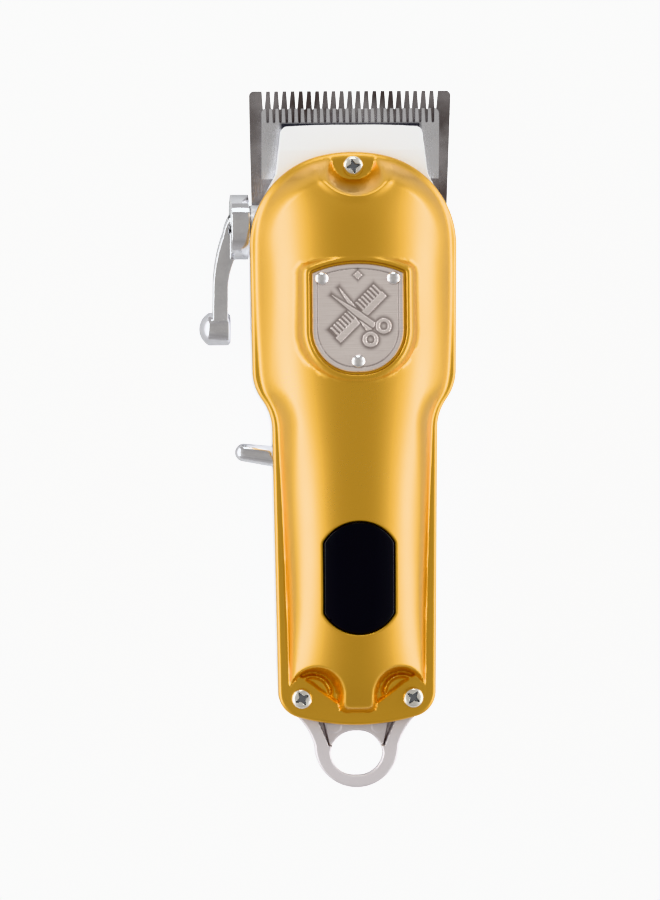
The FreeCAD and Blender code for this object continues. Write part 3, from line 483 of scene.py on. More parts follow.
class DetailLibrary:
    """Builds each shared effect once."""

    def __init__(self) -> None:
        """Builds the groups."""
        self.groups = {
            Detail.CAST: self.cast_grain(),
            Detail.BRUSHED: self.brushed_grain(),
            Detail.EDGES: self.edge_wear_and_highlight(),
        }

    @staticmethod
    def start(detail: Detail) -> tuple[bpy.types.NodeTree, Wiring, bpy.types.Node, bpy.types.Node]:
        """An empty group with its input and output nodes."""
        tree = bpy.data.node_groups.new(detail.value, "ShaderNodeTree")
        wiring = Wiring(tree)
        return tree, wiring, tree.nodes.new("NodeGroupInput"), tree.nodes.new("NodeGroupOutput")

    def cast_grain(self) -> bpy.types.NodeTree:
        """Fine grain of a cast and lacquered metal, with slow clouds of tone.

        Returns:
            The group: Grain and Cloud from 0 to 1, and Height for a bump.
        """
        tree, wiring, given, result = self.start(Detail.CAST)
        add_socket(tree, "Vector", "Vector", False)
        add_socket(tree, "Grain Scale", "Float", False, 2500.0)
        add_socket(tree, "Cloud Scale", "Float", False, 60.0)
        for name in ("Grain", "Cloud", "Height"):
            add_socket(tree, name, "Float", True)
        fine = wiring.add("TexNoise", in_Vector=given.outputs[0], in_Scale=given.outputs[1],
                          in_Detail=3.0, in_Roughness=0.7)
        cloud = wiring.add("TexNoise", in_Vector=given.outputs[0], in_Scale=given.outputs[2],
                           in_Detail=4.0, in_Roughness=0.55)
        wiring.put(result.inputs[0], wiring.span(fine.outputs[0], 0.0, 1.0, 0.3, 0.7))
        wiring.put(result.inputs[1], wiring.span(cloud.outputs[0], 0.0, 1.0, 0.32, 0.68))
        mixed = wiring.math("MULTIPLY", fine.outputs[0], 0.75)
        wiring.put(result.inputs[2], wiring.math("MULTIPLY_ADD", cloud.outputs[0], mixed))
        return tree

    def brushed_grain(self) -> bpy.types.NodeTree:
        """Long fine scratches along one axis.

        Returns:
            The group: Scratches and Cloud from 0 to 1.
        """
        tree, wiring, given, result = self.start(Detail.BRUSHED)
        add_socket(tree, "Vector", "Vector", False)
        add_socket(tree, "Stretch", "Vector", False, (3000.0, 60.0, 3000.0))
        for name in ("Scratches", "Cloud"):
            add_socket(tree, name, "Float", True)
        scaled = wiring.add("VectorMath", operation="MULTIPLY", in_0=given.outputs[0],
                            in_1=given.outputs[1])
        lines = wiring.add("TexNoise", in_Vector=scaled.outputs[0], in_Scale=1.0, in_Detail=4.0,
                           in_Roughness=0.65)
        cloud = wiring.add("TexNoise", in_Vector=given.outputs[0], in_Scale=110.0, in_Detail=3.0)
        wiring.put(result.inputs[0], wiring.span(lines.outputs[0], 0.0, 1.0, 0.3, 0.7))
        wiring.put(result.inputs[1], wiring.span(cloud.outputs[0], 0.0, 1.0, 0.32, 0.68))
        return tree

    def edge_wear_and_highlight(self) -> bpy.types.NodeTree:
        """Where edges turn: a mask that is 1 on a sharp edge, and the softened normal.

        Returns:
            The group: Edge from 0 to 1 and Normal.
        """
        tree, wiring, given, result = self.start(Detail.EDGES)
        add_socket(tree, "Radius", "Float", False, 0.0003)
        add_socket(tree, "Edge", "Float", True)
        add_socket(tree, "Normal", "Vector", True)
        bevel = wiring.add("Bevel", samples=6, in_Radius=given.outputs[0])
        plain = wiring.add("NewGeometry")
        along = wiring.add("VectorMath", operation="DOT_PRODUCT", in_0=bevel.outputs[0],
                           in_1=plain.outputs["Normal"])
        wiring.put(result.inputs[0], wiring.span(along.outputs["Value"], 1.0, 0.0, 0.72, 0.995))
        wiring.put(result.inputs[1], bevel.outputs[0])
        return tree


# ---------------------------------------------------------------- finishes


Colour = tuple[float, float, float]


def shade(colour: Colour) -> tuple[float, float, float, float]:
    """A colour with full alpha."""
    return (*colour, 1.0)


@dataclass(frozen=True)
class Finish:
    """How one kind of surface looks, from its colours, gloss, grain and lighter edges: worn edges on
    most finishes and a painted highlight along the rim of the black glass.

    A finish without an edge colour stays crisp: its edges get neither a lighter colour nor a softened
    normal. The nose shadow band is painted shade:
    a dark strip between two places along Y, as wide as the housing's nose, all in metres, standing in
    for the shadow that the nose casts on the cutter.
    """

    name: str
    base: Colour
    deep: Colour
    edge: Optional[Colour]
    metallic: float
    roughness: tuple[float, float]
    bump: float
    detail: Detail = Detail.CAST
    grain_scale: float = 2500.0
    cloud_scale: float = 60.0
    stretch: tuple[float, float, float] = (3000.0, 60.0, 3000.0)
    edge_radius: float = 0.0003
    edge_share: float = 0.5
    coat: float = 0.0
    coat_roughness: float = 0.28
    cloud_share: float = 0.35
    grain_share: float = 0.15
    carries_painted_shade: bool = False
    specular: float = 0.5
    nose_shadow_band: tuple[float, float] = (0.0, 0.0)
    nose_shadow_half_width: tuple[float, float] = (0.0157, 0.0166)
    grime_cover: float = 0.93
    nose_shadow_colour: Colour = (0.02, 0.02, 0.03)

    def grain(self, wiring: Wiring, library: DetailLibrary, place: bpy.types.NodeSocket
              ) -> tuple[bpy.types.NodeSocket, ...]:
        """Adds the grain and returns its fine part, its clouds and the height for a bump."""
        group = library.groups[self.detail]
        if self.detail is Detail.BRUSHED:
            node = wiring.add("Group", node_tree=group, in_Vector=place, in_Stretch=self.stretch)
            return node.outputs[0], node.outputs[1], node.outputs[0]
        node = wiring.add("Group", node_tree=group, in_Vector=place,
                          in_Grain_Scale=self.grain_scale, in_Cloud_Scale=self.cloud_scale)
        return tuple(node.outputs)

    def paint_nose_shadow(self, wiring: Wiring, place: bpy.types.NodeSocket) -> bpy.types.NodeSocket:
        """Adds the mask of the painted shadow that the housing's nose casts across the cutter."""
        axes = wiring.add("SeparateXYZ", in_0=place)
        low, high = self.nose_shadow_band
        off = wiring.math("ABSOLUTE", wiring.math("SUBTRACT", axes.outputs["Y"], (low + high) / 2))
        along = wiring.span(off, self.grime_cover, 0.0, (high - low) / 2, high - low)
        across = wiring.math("ABSOLUTE", axes.outputs["X"])
        return wiring.math("MULTIPLY", along, wiring.span(across, 1.0, 0.0, *self.nose_shadow_half_width))

    def material(self, library: DetailLibrary) -> bpy.types.Material:
        """Builds the material.

        Args:
            library: The shared effects.

        Returns:
            The material.
        """
        material = bpy.data.materials.new(self.name)
        material.use_nodes = True
        wiring = Wiring(material.node_tree)
        principled = material.node_tree.nodes["Principled BSDF"]
        place = wiring.add("TexCoord").outputs["Object"]
        fine, cloud, height = self.grain(wiring, library, place)
        tone = wiring.mix(wiring.math("MULTIPLY", cloud, self.cloud_share), shade(self.base),
                          shade(self.deep))
        tone = wiring.mix(wiring.math("MULTIPLY", fine, self.grain_share), tone, shade(self.deep))
        # Painted shade from the stored mask: dark in the screws' star recesses and round the badge's
        # raised pattern and edge line.
        if self.carries_painted_shade:
            shade_mask = wiring.add("Attribute", attribute_name="painted_shade").outputs["Fac"]
            tone = wiring.mix(shade_mask, tone, shade(self.deep))
        # Painted shadow: a dark band where the housing's nose shades the cutter.
        if self.nose_shadow_band[1] > self.nose_shadow_band[0]:
            tone = wiring.mix(self.paint_nose_shadow(wiring, place), tone, shade(self.nose_shadow_colour))
        bump = wiring.add("Bump", in_Strength=self.bump, in_Distance=0.1 * MM, in_Height=height)
        # Lighter colour along sharp edges: wear on most finishes, a painted highlight on the black
        # glass's rim.
        if self.edge:
            edges = wiring.add("Group", node_tree=library.groups[Detail.EDGES],
                               in_Radius=self.edge_radius)
            wear_and_highlight = wiring.math("MULTIPLY", edges.outputs[0], self.edge_share)
            tone = wiring.mix(wear_and_highlight, tone, shade(self.edge))
            wiring.put(bump.inputs["Normal"], edges.outputs[1])
        wiring.put(principled.inputs["Base Color"], tone)
        blend = wiring.math("MULTIPLY", wiring.math("ADD", fine, cloud), 0.5)
        wiring.put(principled.inputs["Roughness"], wiring.span(blend, *self.roughness))
        wiring.put(principled.inputs["Normal"], bump.outputs[0])
        for name, value in (("Metallic", self.metallic), ("Specular IOR Level", self.specular),
                            ("Coat Weight", self.coat), ("Coat Roughness", self.coat_roughness)):
            principled.inputs[name].default_value = value
        return material


FINISHES = {
    "gold_cover": Finish(
        "satin_gold", (0.85, 0.48, 0.085), (0.68, 0.35, 0.045), (0.98, 0.75, 0.34), 1.0,
        (0.26, 0.36), 0.10, grain_scale=3200.0, cloud_scale=45.0, edge_share=0.35,
        cloud_share=0.25, grain_share=0.2, coat=0.6,
    ),
    "silver_housing": Finish(
        "satin_silver", (0.97, 0.97, 0.99), (0.92, 0.92, 0.95), (0.98, 0.98, 0.99), 0.15,
        (0.30, 0.42), 0.10, grain_scale=3000.0, edge_share=0.5, coat=0.5,
    ),
    "hook_silver": Finish(
        "satin_hook_silver", (0.80, 0.76, 0.79), (0.64, 0.60, 0.63), (0.97, 0.97, 0.98), 0.6,
        (0.36, 0.48), 0.14, grain_scale=2600.0, edge_share=0.6, edge_radius=0.0002,
    ),
    # Its dark deep colour also paints the shade round the raised pattern and in the line near the edge.
    "badge_metal": Finish(
        "badge_steel", (0.95, 0.87, 0.85), (0.22, 0.17, 0.16), (0.98, 0.94, 0.91), 1.0,
        (0.38, 0.50), 0.12, detail=Detail.BRUSHED, stretch=(120.0, 4200.0, 3000.0),
        edge_radius=0.00025, edge_share=0.9, cloud_share=0.15, grain_share=0.2, carries_painted_shade=True,
    ),
    "bright_rivet": Finish(
        "polished_rivet", (0.86, 0.85, 0.86), (0.62, 0.60, 0.62), (1.0, 1.0, 1.0), 1.0,
        (0.07, 0.14), 0.03, edge_share=0.3,
    ),
    # The lighter edge colour of the black glass is a painted highlight along the lens rim.
    "display_glass": Finish(
        "black_glass", (0.006, 0.006, 0.009), (0.003, 0.003, 0.004), (0.30, 0.24, 0.22), 0.0,
        (0.05, 0.12), 0.01, edge_share=0.5, edge_radius=0.00015, cloud_share=0.2, specular=0.22,
    ),
    "nickel_screw": Finish(
        "nickel_screw_steel", (0.82, 0.80, 0.77), (0.45, 0.43, 0.41), (1.0, 0.99, 0.97), 1.0,
        (0.12, 0.24), 0.08, detail=Detail.BRUSHED, stretch=(900.0, 2500.0, 900.0),
        edge_radius=0.00012, edge_share=0.6,
    ),
    # Its dark deep colour also paints the shade in the screws' star recesses.
    "screw_bright": Finish(
        "bright_screw_head", (0.97, 0.95, 0.90), (0.16, 0.18, 0.22), (1.0, 1.0, 0.98), 1.0,
        (0.16, 0.26), 0.06, edge_share=0.4, edge_radius=0.0001, cloud_share=0.1,
        grain_share=0.08, carries_painted_shade=True,
    ),
    "dark_blade": Finish(
        "gunmetal_blade", (0.50, 0.48, 0.50), (0.10, 0.08, 0.08), None, 1.0, (0.20, 0.34), 0.12,
        detail=Detail.BRUSHED, stretch=(3500.0, 90.0, 3500.0), cloud_share=0.85,
    ),
    # The dark band between 71.2 and 72.2 mm along Y is a painted shadow cast by the housing's nose.
    "cutter_steel": Finish(
        "ground_cutter_steel", (0.82, 0.82, 0.86), (0.46, 0.46, 0.50), None, 1.0, (0.20, 0.32), 0.12,
        detail=Detail.BRUSHED, stretch=(3600.0, 90.0, 3600.0), nose_shadow_band=(0.0712, 0.0722),
    ),
    "spring_steel": Finish(
        "spring_steel_leaf", (0.55, 0.54, 0.55), (0.33, 0.32, 0.34), (0.9, 0.9, 0.9), 1.0,
        (0.22, 0.34), 0.08, detail=Detail.BRUSHED,
    ),
    "chrome": Finish(
        "polished_chrome", (0.80, 0.80, 0.83), (0.52, 0.52, 0.56), (1.0, 1.0, 1.0), 1.0,
        (0.05, 0.14), 0.06, grain_scale=1500.0, cloud_scale=150.0, edge_share=0.5,
        edge_radius=0.0004,
    ),
    "motor_steel": Finish(
        "zinc_motor_can", (0.60, 0.61, 0.63), (0.40, 0.41, 0.44), (0.85, 0.86, 0.88), 1.0,
        (0.24, 0.36), 0.10, detail=Detail.BRUSHED, stretch=(90.0, 2600.0, 90.0),
    ),
    "black_plastic": Finish(
        "moulded_black", (0.022, 0.022, 0.024), (0.010, 0.010, 0.011), (0.09, 0.09, 0.09), 0.0,
        (0.38, 0.55), 0.25, grain_scale=1800.0,
    ),
    "brass": Finish(
        "turned_brass", (0.78, 0.56, 0.26), (0.52, 0.36, 0.14), (0.95, 0.80, 0.50), 1.0,
        (0.18, 0.30), 0.08, detail=Detail.BRUSHED,
    ),
    "battery_wrap": Finish(
        "battery_sleeve", (0.05, 0.16, 0.42), (0.03, 0.09, 0.27), (0.25, 0.40, 0.70), 0.0,
        (0.20, 0.32), 0.06, coat=0.4,
    ),
    "board_green": Finish(
        "solder_mask", (0.020, 0.17, 0.07), (0.012, 0.09, 0.04), (0.45, 0.38, 0.18), 0.0,
        (0.26, 0.38), 0.10, coat=0.3,
    ),
}


# ---------------------------------------------------------------- the casing's plan


@dataclass
class CasingPlan:
    """The plan outline that the cover and the housing share."""

    arch_top: float = 65.5
    arch_radius: float = 33.0
    shoulder_radius: float = 21.0
    head_half: float = 23.6
    waist_half: float = 23.25
    waist_top: float = 15.8
    waist_radius: float = 11.6
    handle_half: float = 18.85
    tail_half: float = 18.0
    tail_corner: float = 6.0
    tail_radius: float = 49.6
    tail_end: float = 65.3

    def loop(self, step: float) -> Plan:
        """The outline as an even closed loop, clockwise from the middle of the arch."""
        arch = self.arch_radius - self.shoulder_radius
        lean = (self.head_half - self.shoulder_radius) / arch
        rise = math.sqrt(1 - lean * lean)
        arch_centre = self.arch_top - self.arch_radius
        cos = 1 - (self.waist_half - self.handle_half) / (2 * self.waist_radius)
        sin = math.sqrt(1 - cos * cos)
        tail_lean = (self.tail_half - self.tail_corner) / (self.tail_radius - self.tail_corner)
        tail_rise = math.sqrt(1 - tail_lean * tail_lean)
        tail_centre = self.tail_radius - self.tail_end
        right = [
            (0.0, self.arch_top),
            (self.arch_radius * lean, arch_centre + self.arch_radius * rise, self.arch_radius),
            (self.head_half, arch_centre + arch * rise, self.shoulder_radius),
            (self.waist_half, self.waist_top),
            (self.waist_half - self.waist_radius * (1 - cos),
             self.waist_top - self.waist_radius * sin, self.waist_radius),
            (self.handle_half, self.waist_top - 2 * self.waist_radius * sin, -self.waist_radius),
            (self.tail_half, tail_centre - (self.tail_radius - self.tail_corner) * tail_rise),
            (self.tail_radius * tail_lean, tail_centre - self.tail_radius * tail_rise,
             self.tail_corner),
            (0.0, -self.tail_end, self.tail_radius),
        ]
        return evenly(trace(right, step / 3), step)


@dataclass
class BadgePlan:
    """The shield outline of the badge."""

    half: float = 10.45
    top: float = 39.7
    corner: float = 37.5
    side_end: float = 24.7
    tip: float = 15.0

    def loop(self, step: float) -> Plan:
        """The outline as an even closed loop."""
        drop = self.top - self.corner
        fall = self.side_end - self.tip
        right = [
            (0.0, self.top),
            (self.half, self.corner, (self.half**2 + drop**2) / (2 * drop)),
            (self.half, self.side_end),
            (0.0, self.tip, (self.half**2 + fall**2) / (2 * self.half) + 0.02),
        ]
        return evenly(trace(right, step / 3), step)


@dataclass
class WindowPlan:
    """The long outline of the display window with its arched ends."""

    half: float = 7.95
    reach: float = 12.55
    end_radius: float = 9.2
    place: float = -31.55

    def loop(self, step: float) -> Plan:
        """The outline as an even closed loop."""
        end = self.end_radius - math.sqrt(self.end_radius**2 - self.half**2)
        right = [
            (0.0, self.place + self.reach),
            (self.half, self.place + self.reach - end, self.end_radius),
            (self.half, self.place - self.reach + end),
            (0.0, self.place - self.reach, self.end_radius),
        ]
        return evenly(trace(right, step / 3), step)


# ---------------------------------------------------------------- cover screws


@dataclass
class CoverScrews:
    """The three domed screws of the cover, each with a star-shaped cross recess."""

    places: ClassVar[tuple[tuple[float, float], ...]] = ((0.0, 62.1), (12.7, -59.1), (-12.7, -59.1))
    lengths: tuple[float, ...] = (5.4, 13.0, 13.0)
    turns: tuple[float, ...] = (0.2, 0.95, 0.5)
    seat: float = 22.62
    head: float = 2.45
    height: float = 1.55
    shank: float = 1.3
    recess: float = 0.85
    recess_shade: float = 0.85
    arm_half: float = 0.66
    arm_taper: float = 1.8
    arm_reach: float = 1.7
    insets: ClassVar[tuple[float, ...]] = (0.0, 0.02, 0.06, 0.13, 0.25, 0.4)

    def one(self, index: int) -> bpy.types.Object:
        """Builds one screw.

        Args:
            index: Which of the three.

        Returns:
            The new object, in place.
        """
        x, y = self.places[index]

        def heights(plan: Plan) -> tuple[Plan, Plan]:
            """Upper and lower height of the screw at each place."""
            radius = np.hypot(plan[:, 0] - x, plan[:, 1] - y)
            share = radius / self.head
            dome = np.sqrt(np.clip(1 - 0.5 * share**2 - 0.5 * share**8, 0.0, 1.0))
            upper = self.seat + self.height * dome - self.recess * self.star(plan, index)
            lower = np.where(radius < self.shank, self.seat - self.lengths[index], self.seat)
            return np.maximum(upper, self.seat + 0.02), lower

        radii = [self.head - inset for inset in self.insets] + [self.shank - 0.02, self.shank + 0.02]
        outline, *rings = [round_loop(x, y, radius, 0.2) for radius in radii]
        scatter = grid_over((x - 2.4, y - 2.4), (x + 2.4, y + 2.4), 0.11)
        screw = Relief(f"cover_screw_{index}", outline, rings=rings, scatter=scatter,
                       clearance=0.07).build(heights)
        places = places_of(screw)
        # Painted shade: the star recess is darkened towards the finish's dark deep colour.
        paint_shade(screw, self.recess_shade * self.star(places, index) * (places[:, 2] > self.seat))
        return screw

    def star(self, plan: Plan, index: int) -> Plan:
        """1 in the star-shaped recess of a screw, 0 off it.

        Args:
            plan: Places, one row each.
            index: Which of the three screws.

        Returns:
            The mask.
        """
        across, along = plan[:, 0] - self.places[index][0], plan[:, 1] - self.places[index][1]
        cos, sin = math.cos(self.turns[index]), math.sin(self.turns[index])
        u = np.abs(across * cos + along * sin)
        v = np.abs(along * cos - across * sin)
        reach = np.maximum(u, v)
        arms = np.minimum(u, v) - self.arm_half * np.clip(1 - reach / self.arm_taper, 0.0, 1.0)
        return ramp(arms, 0.08, -0.08) * ramp(reach, self.arm_reach, self.arm_reach - 0.2)

    def build(self) -> bpy.types.Object:
        """Builds the screws and joins them."""
        screws = [self.one(index) for index in range(len(self.places))]
        take(screws[0])
        for screw in screws[1:]:
            screw.select_set(True)
        bpy.ops.object.join()
        screws[0].name = "cover_screw_set"
        return screws[0]


# ---------------------------------------------------------------- rounded metal pieces


@dataclass
class RoundedPiece:
    """A piece of the frame with its sharp edges rounded over, as casting and polishing leave it."""

    node: str
    name: str
    radius: float
    merge_distance: ClassVar[float] = 5e-6
    flat_below: ClassVar[float] = math.radians(1.0)
    sharp_above: ClassVar[float] = math.radians(32)

    def build(self, frame: dict) -> bpy.types.Object:
        """Copies the node's mesh, merges its triangles and rounds its edges.

        Args:
            frame: The loaded frame.

        Returns:
            The new object, in place.
        """
        piece = bpy.data.objects.new(self.name, frame["nodes"][self.node].data.copy())
        bpy.context.scene.collection.objects.link(piece)
        take(piece)
        bpy.ops.object.mode_set(mode="EDIT")
        bpy.ops.mesh.select_all(action="SELECT")
        bpy.ops.mesh.remove_doubles(threshold=self.merge_distance)
        bpy.ops.mesh.dissolve_limited(angle_limit=self.flat_below)
        bpy.ops.object.mode_set(mode="OBJECT")
        finish_with(piece, "BEVEL", width=self.radius * MM, segments=3, limit_method="ANGLE",
                    angle_limit=self.sharp_above, use_clamp_overlap=True)
        smooth(piece, 40.0)
        return piece


# ---------------------------------------------------------------- gold cover


@dataclass
class GoldCover:
    """The cast cover: a flat band, a bulging crown, hollows for the screws, and a badge boss."""

    rim: float = 20.0
    flange: float = 22.6
    wall: float = 1.4
    least_wall: float = 0.8
    edge_radius: float = 0.9
    tail_to_head: tuple[float, float] = (-50.0, 30.0)
    head_start: tuple[float, float] = (50.0, 53.0)
    tail_start: tuple[float, float] = (-50.0, -52.0)
    head_band: float = 1.1
    tail_band: float = 2.5
    head_steepness: float = 1.9
    tail_steepness: float = 2.8
    crown_fillet: float = 1.6
    foot_fillet: float = 0.5
    head_foot_fillet: float = 1.4
    crown_foot: float = 22.0
    stations: tuple[float, ...] = (-68.0, -56.0, -42.0, -10.0, 18.0, 42.0, 57.0, 70.0)
    halves: tuple[float, ...] = (17.0, 17.3, 17.5, 17.9, 22.2, 23.1, 22.6, 21.0)
    crests: tuple[float, ...] = (23.0, 28.8, 32.5, 33.4, 34.2, 34.8, 31.6, 24.0)
    scallop_place: float = 64.0
    scallop_foot: float = 4.9
    scallop_crest: float = 8.7
    scallop_stretch: float = 1.05
    scallop_rise: float = 9.6
    scallop_spread: float = 0.6
    roll_place: float = 0.25
    roll_width: float = 0.95
    roll_height: float = 0.42
    hollow_across: float = 10.2
    hollow_along: float = -58.6
    hollow_radius: float = 5.5
    hollow_steepness: float = 4.5
    hollow_fillet: float = 2.2
    lobe_half: float = 4.7
    lobe_taper: float = 0.2
    lobe_end: float = -62.4
    apron_corner: tuple[float, float] = (9.7, -56.7)
    apron_normal: tuple[float, float] = (-0.588, 0.809)
    apron_radius: float = 3.7
    hollow_front: tuple[float, float] = (-52.6, -53.1)
    hollow_side: tuple[float, float] = (15.0, 14.4)
    trench_end: tuple[float, float] = (-61.4, -60.5)
    trench_depth: float = 1.15
    crescent_along: float = -58.0
    crescent_radius: float = 3.95
    crescent_width: float = 0.42
    crescent_height: float = 1.2
    crescent_end: tuple[float, float] = (-59.0, -57.5)
    groove_place: float = -0.2
    groove_width: float = 0.3
    groove_depth: float = 0.14
    screw_hole: float = 1.45
    badge_gap: float = 0.5
    badge_roll: float = 1.0
    badge_floor: float = 33.3
    boss_top: float = 34.9
    boss_half: float = 0.8
    window_gap: float = 0.2
    window_bevel: float = 0.55
    window_drop: float = 0.5
    lining_front: float = 54.6
    lining_back: float = -53.0
    lining_steepness: float = 4.0
    edge_rings: ClassVar[tuple[float, ...]] = (0.05, 0.13, 0.26, 0.45, 0.7, 1.0, 1.3, 1.5, 1.65,
                                               1.8, 1.95, 2.15, 2.4, 2.7, 3.1, 3.6, 4.2)
    badge_rings: ClassVar[tuple[float, ...]] = (0.33, 0.35, 0.45, 0.6, 0.8, 1.0, 1.2, 1.45, 1.7,
                                                1.95, 2.2, 2.5, 2.9)
    window_rings: ClassVar[tuple[float, ...]] = (0.08, 0.18, 0.3, 0.45, 0.7)
    patches: ClassVar[tuple] = (
        ((-23.6, -51.0), (23.6, 50.0), 0.85),
        ((-16.0, 50.0), (16.0, 65.5), 0.34),
        ((-23.6, 50.0), (-16.0, 65.5), 0.7),
        ((16.0, 50.0), (23.6, 65.5), 0.7),
        ((-18.0, -65.3), (18.0, -51.0), 0.34),
    )

    def crown(self, x: Plan, y: Plan) -> Plan:
        """Height of the crown above the foot of the frame."""
        half = glide(self.stations, self.halves, y)
        rise = glide(self.stations, self.crests, y) - self.crown_foot
        radius = (half**2 + rise**2) / (2 * rise)
        return self.crown_foot + rise - radius + np.sqrt(np.maximum(radius**2 - x * x, 1.0))

    def front_hollow(self, x: Plan, y: Plan) -> tuple[Plan, Plan]:
        """The conical hollow round the front screw.

        Returns:
            The height that it leaves, above the flange, and the distance outside its crest.
        """
        behind = y - self.scallop_place
        foot = np.hypot(x, behind) - self.scallop_foot
        crest = np.hypot(x / self.scallop_stretch, behind) - self.scallop_crest
        share = np.clip(foot / np.maximum(foot - crest, 0.1), 0.0, 3.0)
        share = np.where(crest > 0, 1.0 + crest * self.scallop_spread, share)
        return self.scallop_rise * share, crest

    def tail_hollow(self, x: Plan, y: Plan) -> Plan:
        """Distance into the bulge from the hollows round the tail screws and the lobe's end."""
        across = np.abs(x)
        circle = np.hypot(across - self.hollow_across, y - self.hollow_along) - self.hollow_radius
        behind = y - self.hollow_along
        beside = np.maximum(self.lobe_half + self.lobe_taper * behind - across, behind)
        below = y - self.lobe_end
        return soft_min(soft_min(circle, beside, 0.5), below, 1.5)

    def trench(self, x: Plan, y: Plan) -> Plan:
        """Depth of the trench between the tail's flat apron and the bulge, with its crescent."""
        across = np.abs(x)
        (corner_x, corner_y), (lean_x, lean_y) = self.apron_corner, self.apron_normal
        diagonal = (y - corner_y) * lean_y + (across - corner_x) * lean_x
        screw_x, screw_y = CoverScrews.places[1]
        round_screw = np.hypot(across - screw_x, y - screw_y) - self.apron_radius
        off_apron = ramp(soft_min(diagonal, round_screw, 0.6), 0.0, 0.7)
        in_hollow = ramp(y, *self.hollow_front) * ramp(across, *self.hollow_side)
        in_hollow *= ramp(y, *self.trench_end)
        ring = np.hypot(across - self.hollow_across, y - self.crescent_along)
        crescent = bead(ring - self.crescent_radius, self.crescent_width)
        crescent *= ramp(y, *self.crescent_end)
        return off_apron * in_hollow * (self.trench_depth - self.crescent_height * crescent)

    def bulge(self, x: Plan, y: Plan, off_band: Plan, headwards: Plan) -> tuple[Plan, Plan]:
        """The bulge inside the band, with the screws' hollows in it.

        Args:
            x: Places across.
            y: Places along.
            off_band: Distance inside the flat band.
            headwards: 0 in the tail, 1 in the head.

        Returns:
            Its height above the flange, and the height of the roll round the front hollow.
        """
        steepness = self.tail_steepness + (self.head_steepness - self.tail_steepness) * headwards
        side = steepness * off_band
        bulge = soft_min(self.crown(x, y) - self.flange, side, self.crown_fillet + headwards)
        front, outside_crest = self.front_hollow(x, y)
        bulge = soft_min(bulge, front, self.crown_fillet)
        tail = self.hollow_steepness * self.tail_hollow(x, y)
        bulge = soft_min(bulge, tail, self.hollow_fillet)
        fillet = self.foot_fillet + (self.head_foot_fillet - self.foot_fillet) * headwards
        rise = soft_max(bulge, np.zeros_like(bulge), fillet)
        roll = bead(outside_crest - self.roll_place, self.roll_width) * ramp(bulge, 0.0, 3.0)
        return rise, self.roll_height * roll * ramp(y, *self.head_start)

    def lining(self, x: Plan, y: Plan, from_edge: Plan, from_badge: Plan) -> Plan:
        """Lower height of the cover: hollow under the crown and solid at both ends.

        Args:
            x: Places across.
            y: Places along.
            from_edge: Distance inside the outline.
            from_badge: Distance outside the badge.

        Returns:
            The heights.
        """
        shell = self.crown(x, y) - self.wall - self.rim
        ends = np.minimum(self.lining_front - y, y - self.lining_back)
        room = np.minimum(from_edge - self.tail_band - self.wall, ends)
        room_height = soft_min(shell, self.lining_steepness * room, 1.0)
        lower = self.rim + soft_max(room_height, np.zeros_like(shell), 0.3)
        under_badge = np.minimum(lower, self.badge_floor - 1.5)
        return np.where(from_badge < 2.2, under_badge, lower)

    def heights(self, plan: Plan) -> tuple[Plan, Plan]:
        """Upper and lower height of the cover at each place."""
        x, y = plan[:, 0], plan[:, 1]
        from_edge = depth_in(plan, CasingPlan().loop(0.4))
        from_badge = -depth_in(plan, BadgePlan().loop(0.4))
        from_window = -depth_in(plan, WindowPlan().loop(0.4)) - self.window_gap
        headwards = ramp(y, *self.tail_to_head)
        off_band = from_edge - self.tail_band - (self.head_band - self.tail_band) * headwards
        rise, roll = self.bulge(x, y, off_band, headwards)
        groove = self.groove_depth * bead(off_band - self.groove_place, self.groove_width)
        groove *= (1 - headwards) * (1 - 0.7 * ramp(y, *self.tail_start))
        on_band = ramp(rise, 0.6, 0.1)
        upper = self.flange + rise + roll - on_band * (self.trench(x, y) + groove)
        upper -= rounding(from_edge, self.edge_radius, self.edge_radius)
        boss = self.boss_top - 0.5 * ((from_badge - self.badge_roll) / self.boss_half) ** 2
        upper = soft_max(upper, boss, 0.4)
        upper = np.where(from_badge < self.badge_gap - 0.01, self.badge_floor, upper)
        bevel = np.clip(1 - from_window / self.window_bevel, 0.0, 1.0)
        upper -= self.window_drop * bevel * bevel
        lower = self.lining(x, y, from_edge, from_badge)
        return upper, np.minimum(lower, upper - self.least_wall)

    def build(self) -> bpy.types.Object:
        """Builds the cover's shell."""
        outline, badge, window = CasingPlan().loop(0.5), BadgePlan().loop(0.4), WindowPlan().loop(0.4)
        rings = [shifted(outline, -inset) for inset in self.edge_rings]
        rings += [self.grown(badge, offset) for offset in self.badge_rings]
        rings += [self.grown(window, self.window_gap + offset) for offset in self.window_rings]
        scatter = np.vstack([grid_over(*patch) for patch in self.patches])
        openings = [self.grown(window, self.window_gap)]
        openings += [round_loop(x, y, self.screw_hole, 0.4) for x, y in CoverScrews.places]
        return Relief("cover_shell", outline, openings, rings, scatter).build(self.heights)

    @staticmethod
    def grown(loop: Plan, outwards: float) -> Plan:
        """A convex loop pushed outwards with even points."""
        return evenly(shifted(loop, outwards), 0.4)


# ---------------------------------------------------------------- hanging hook


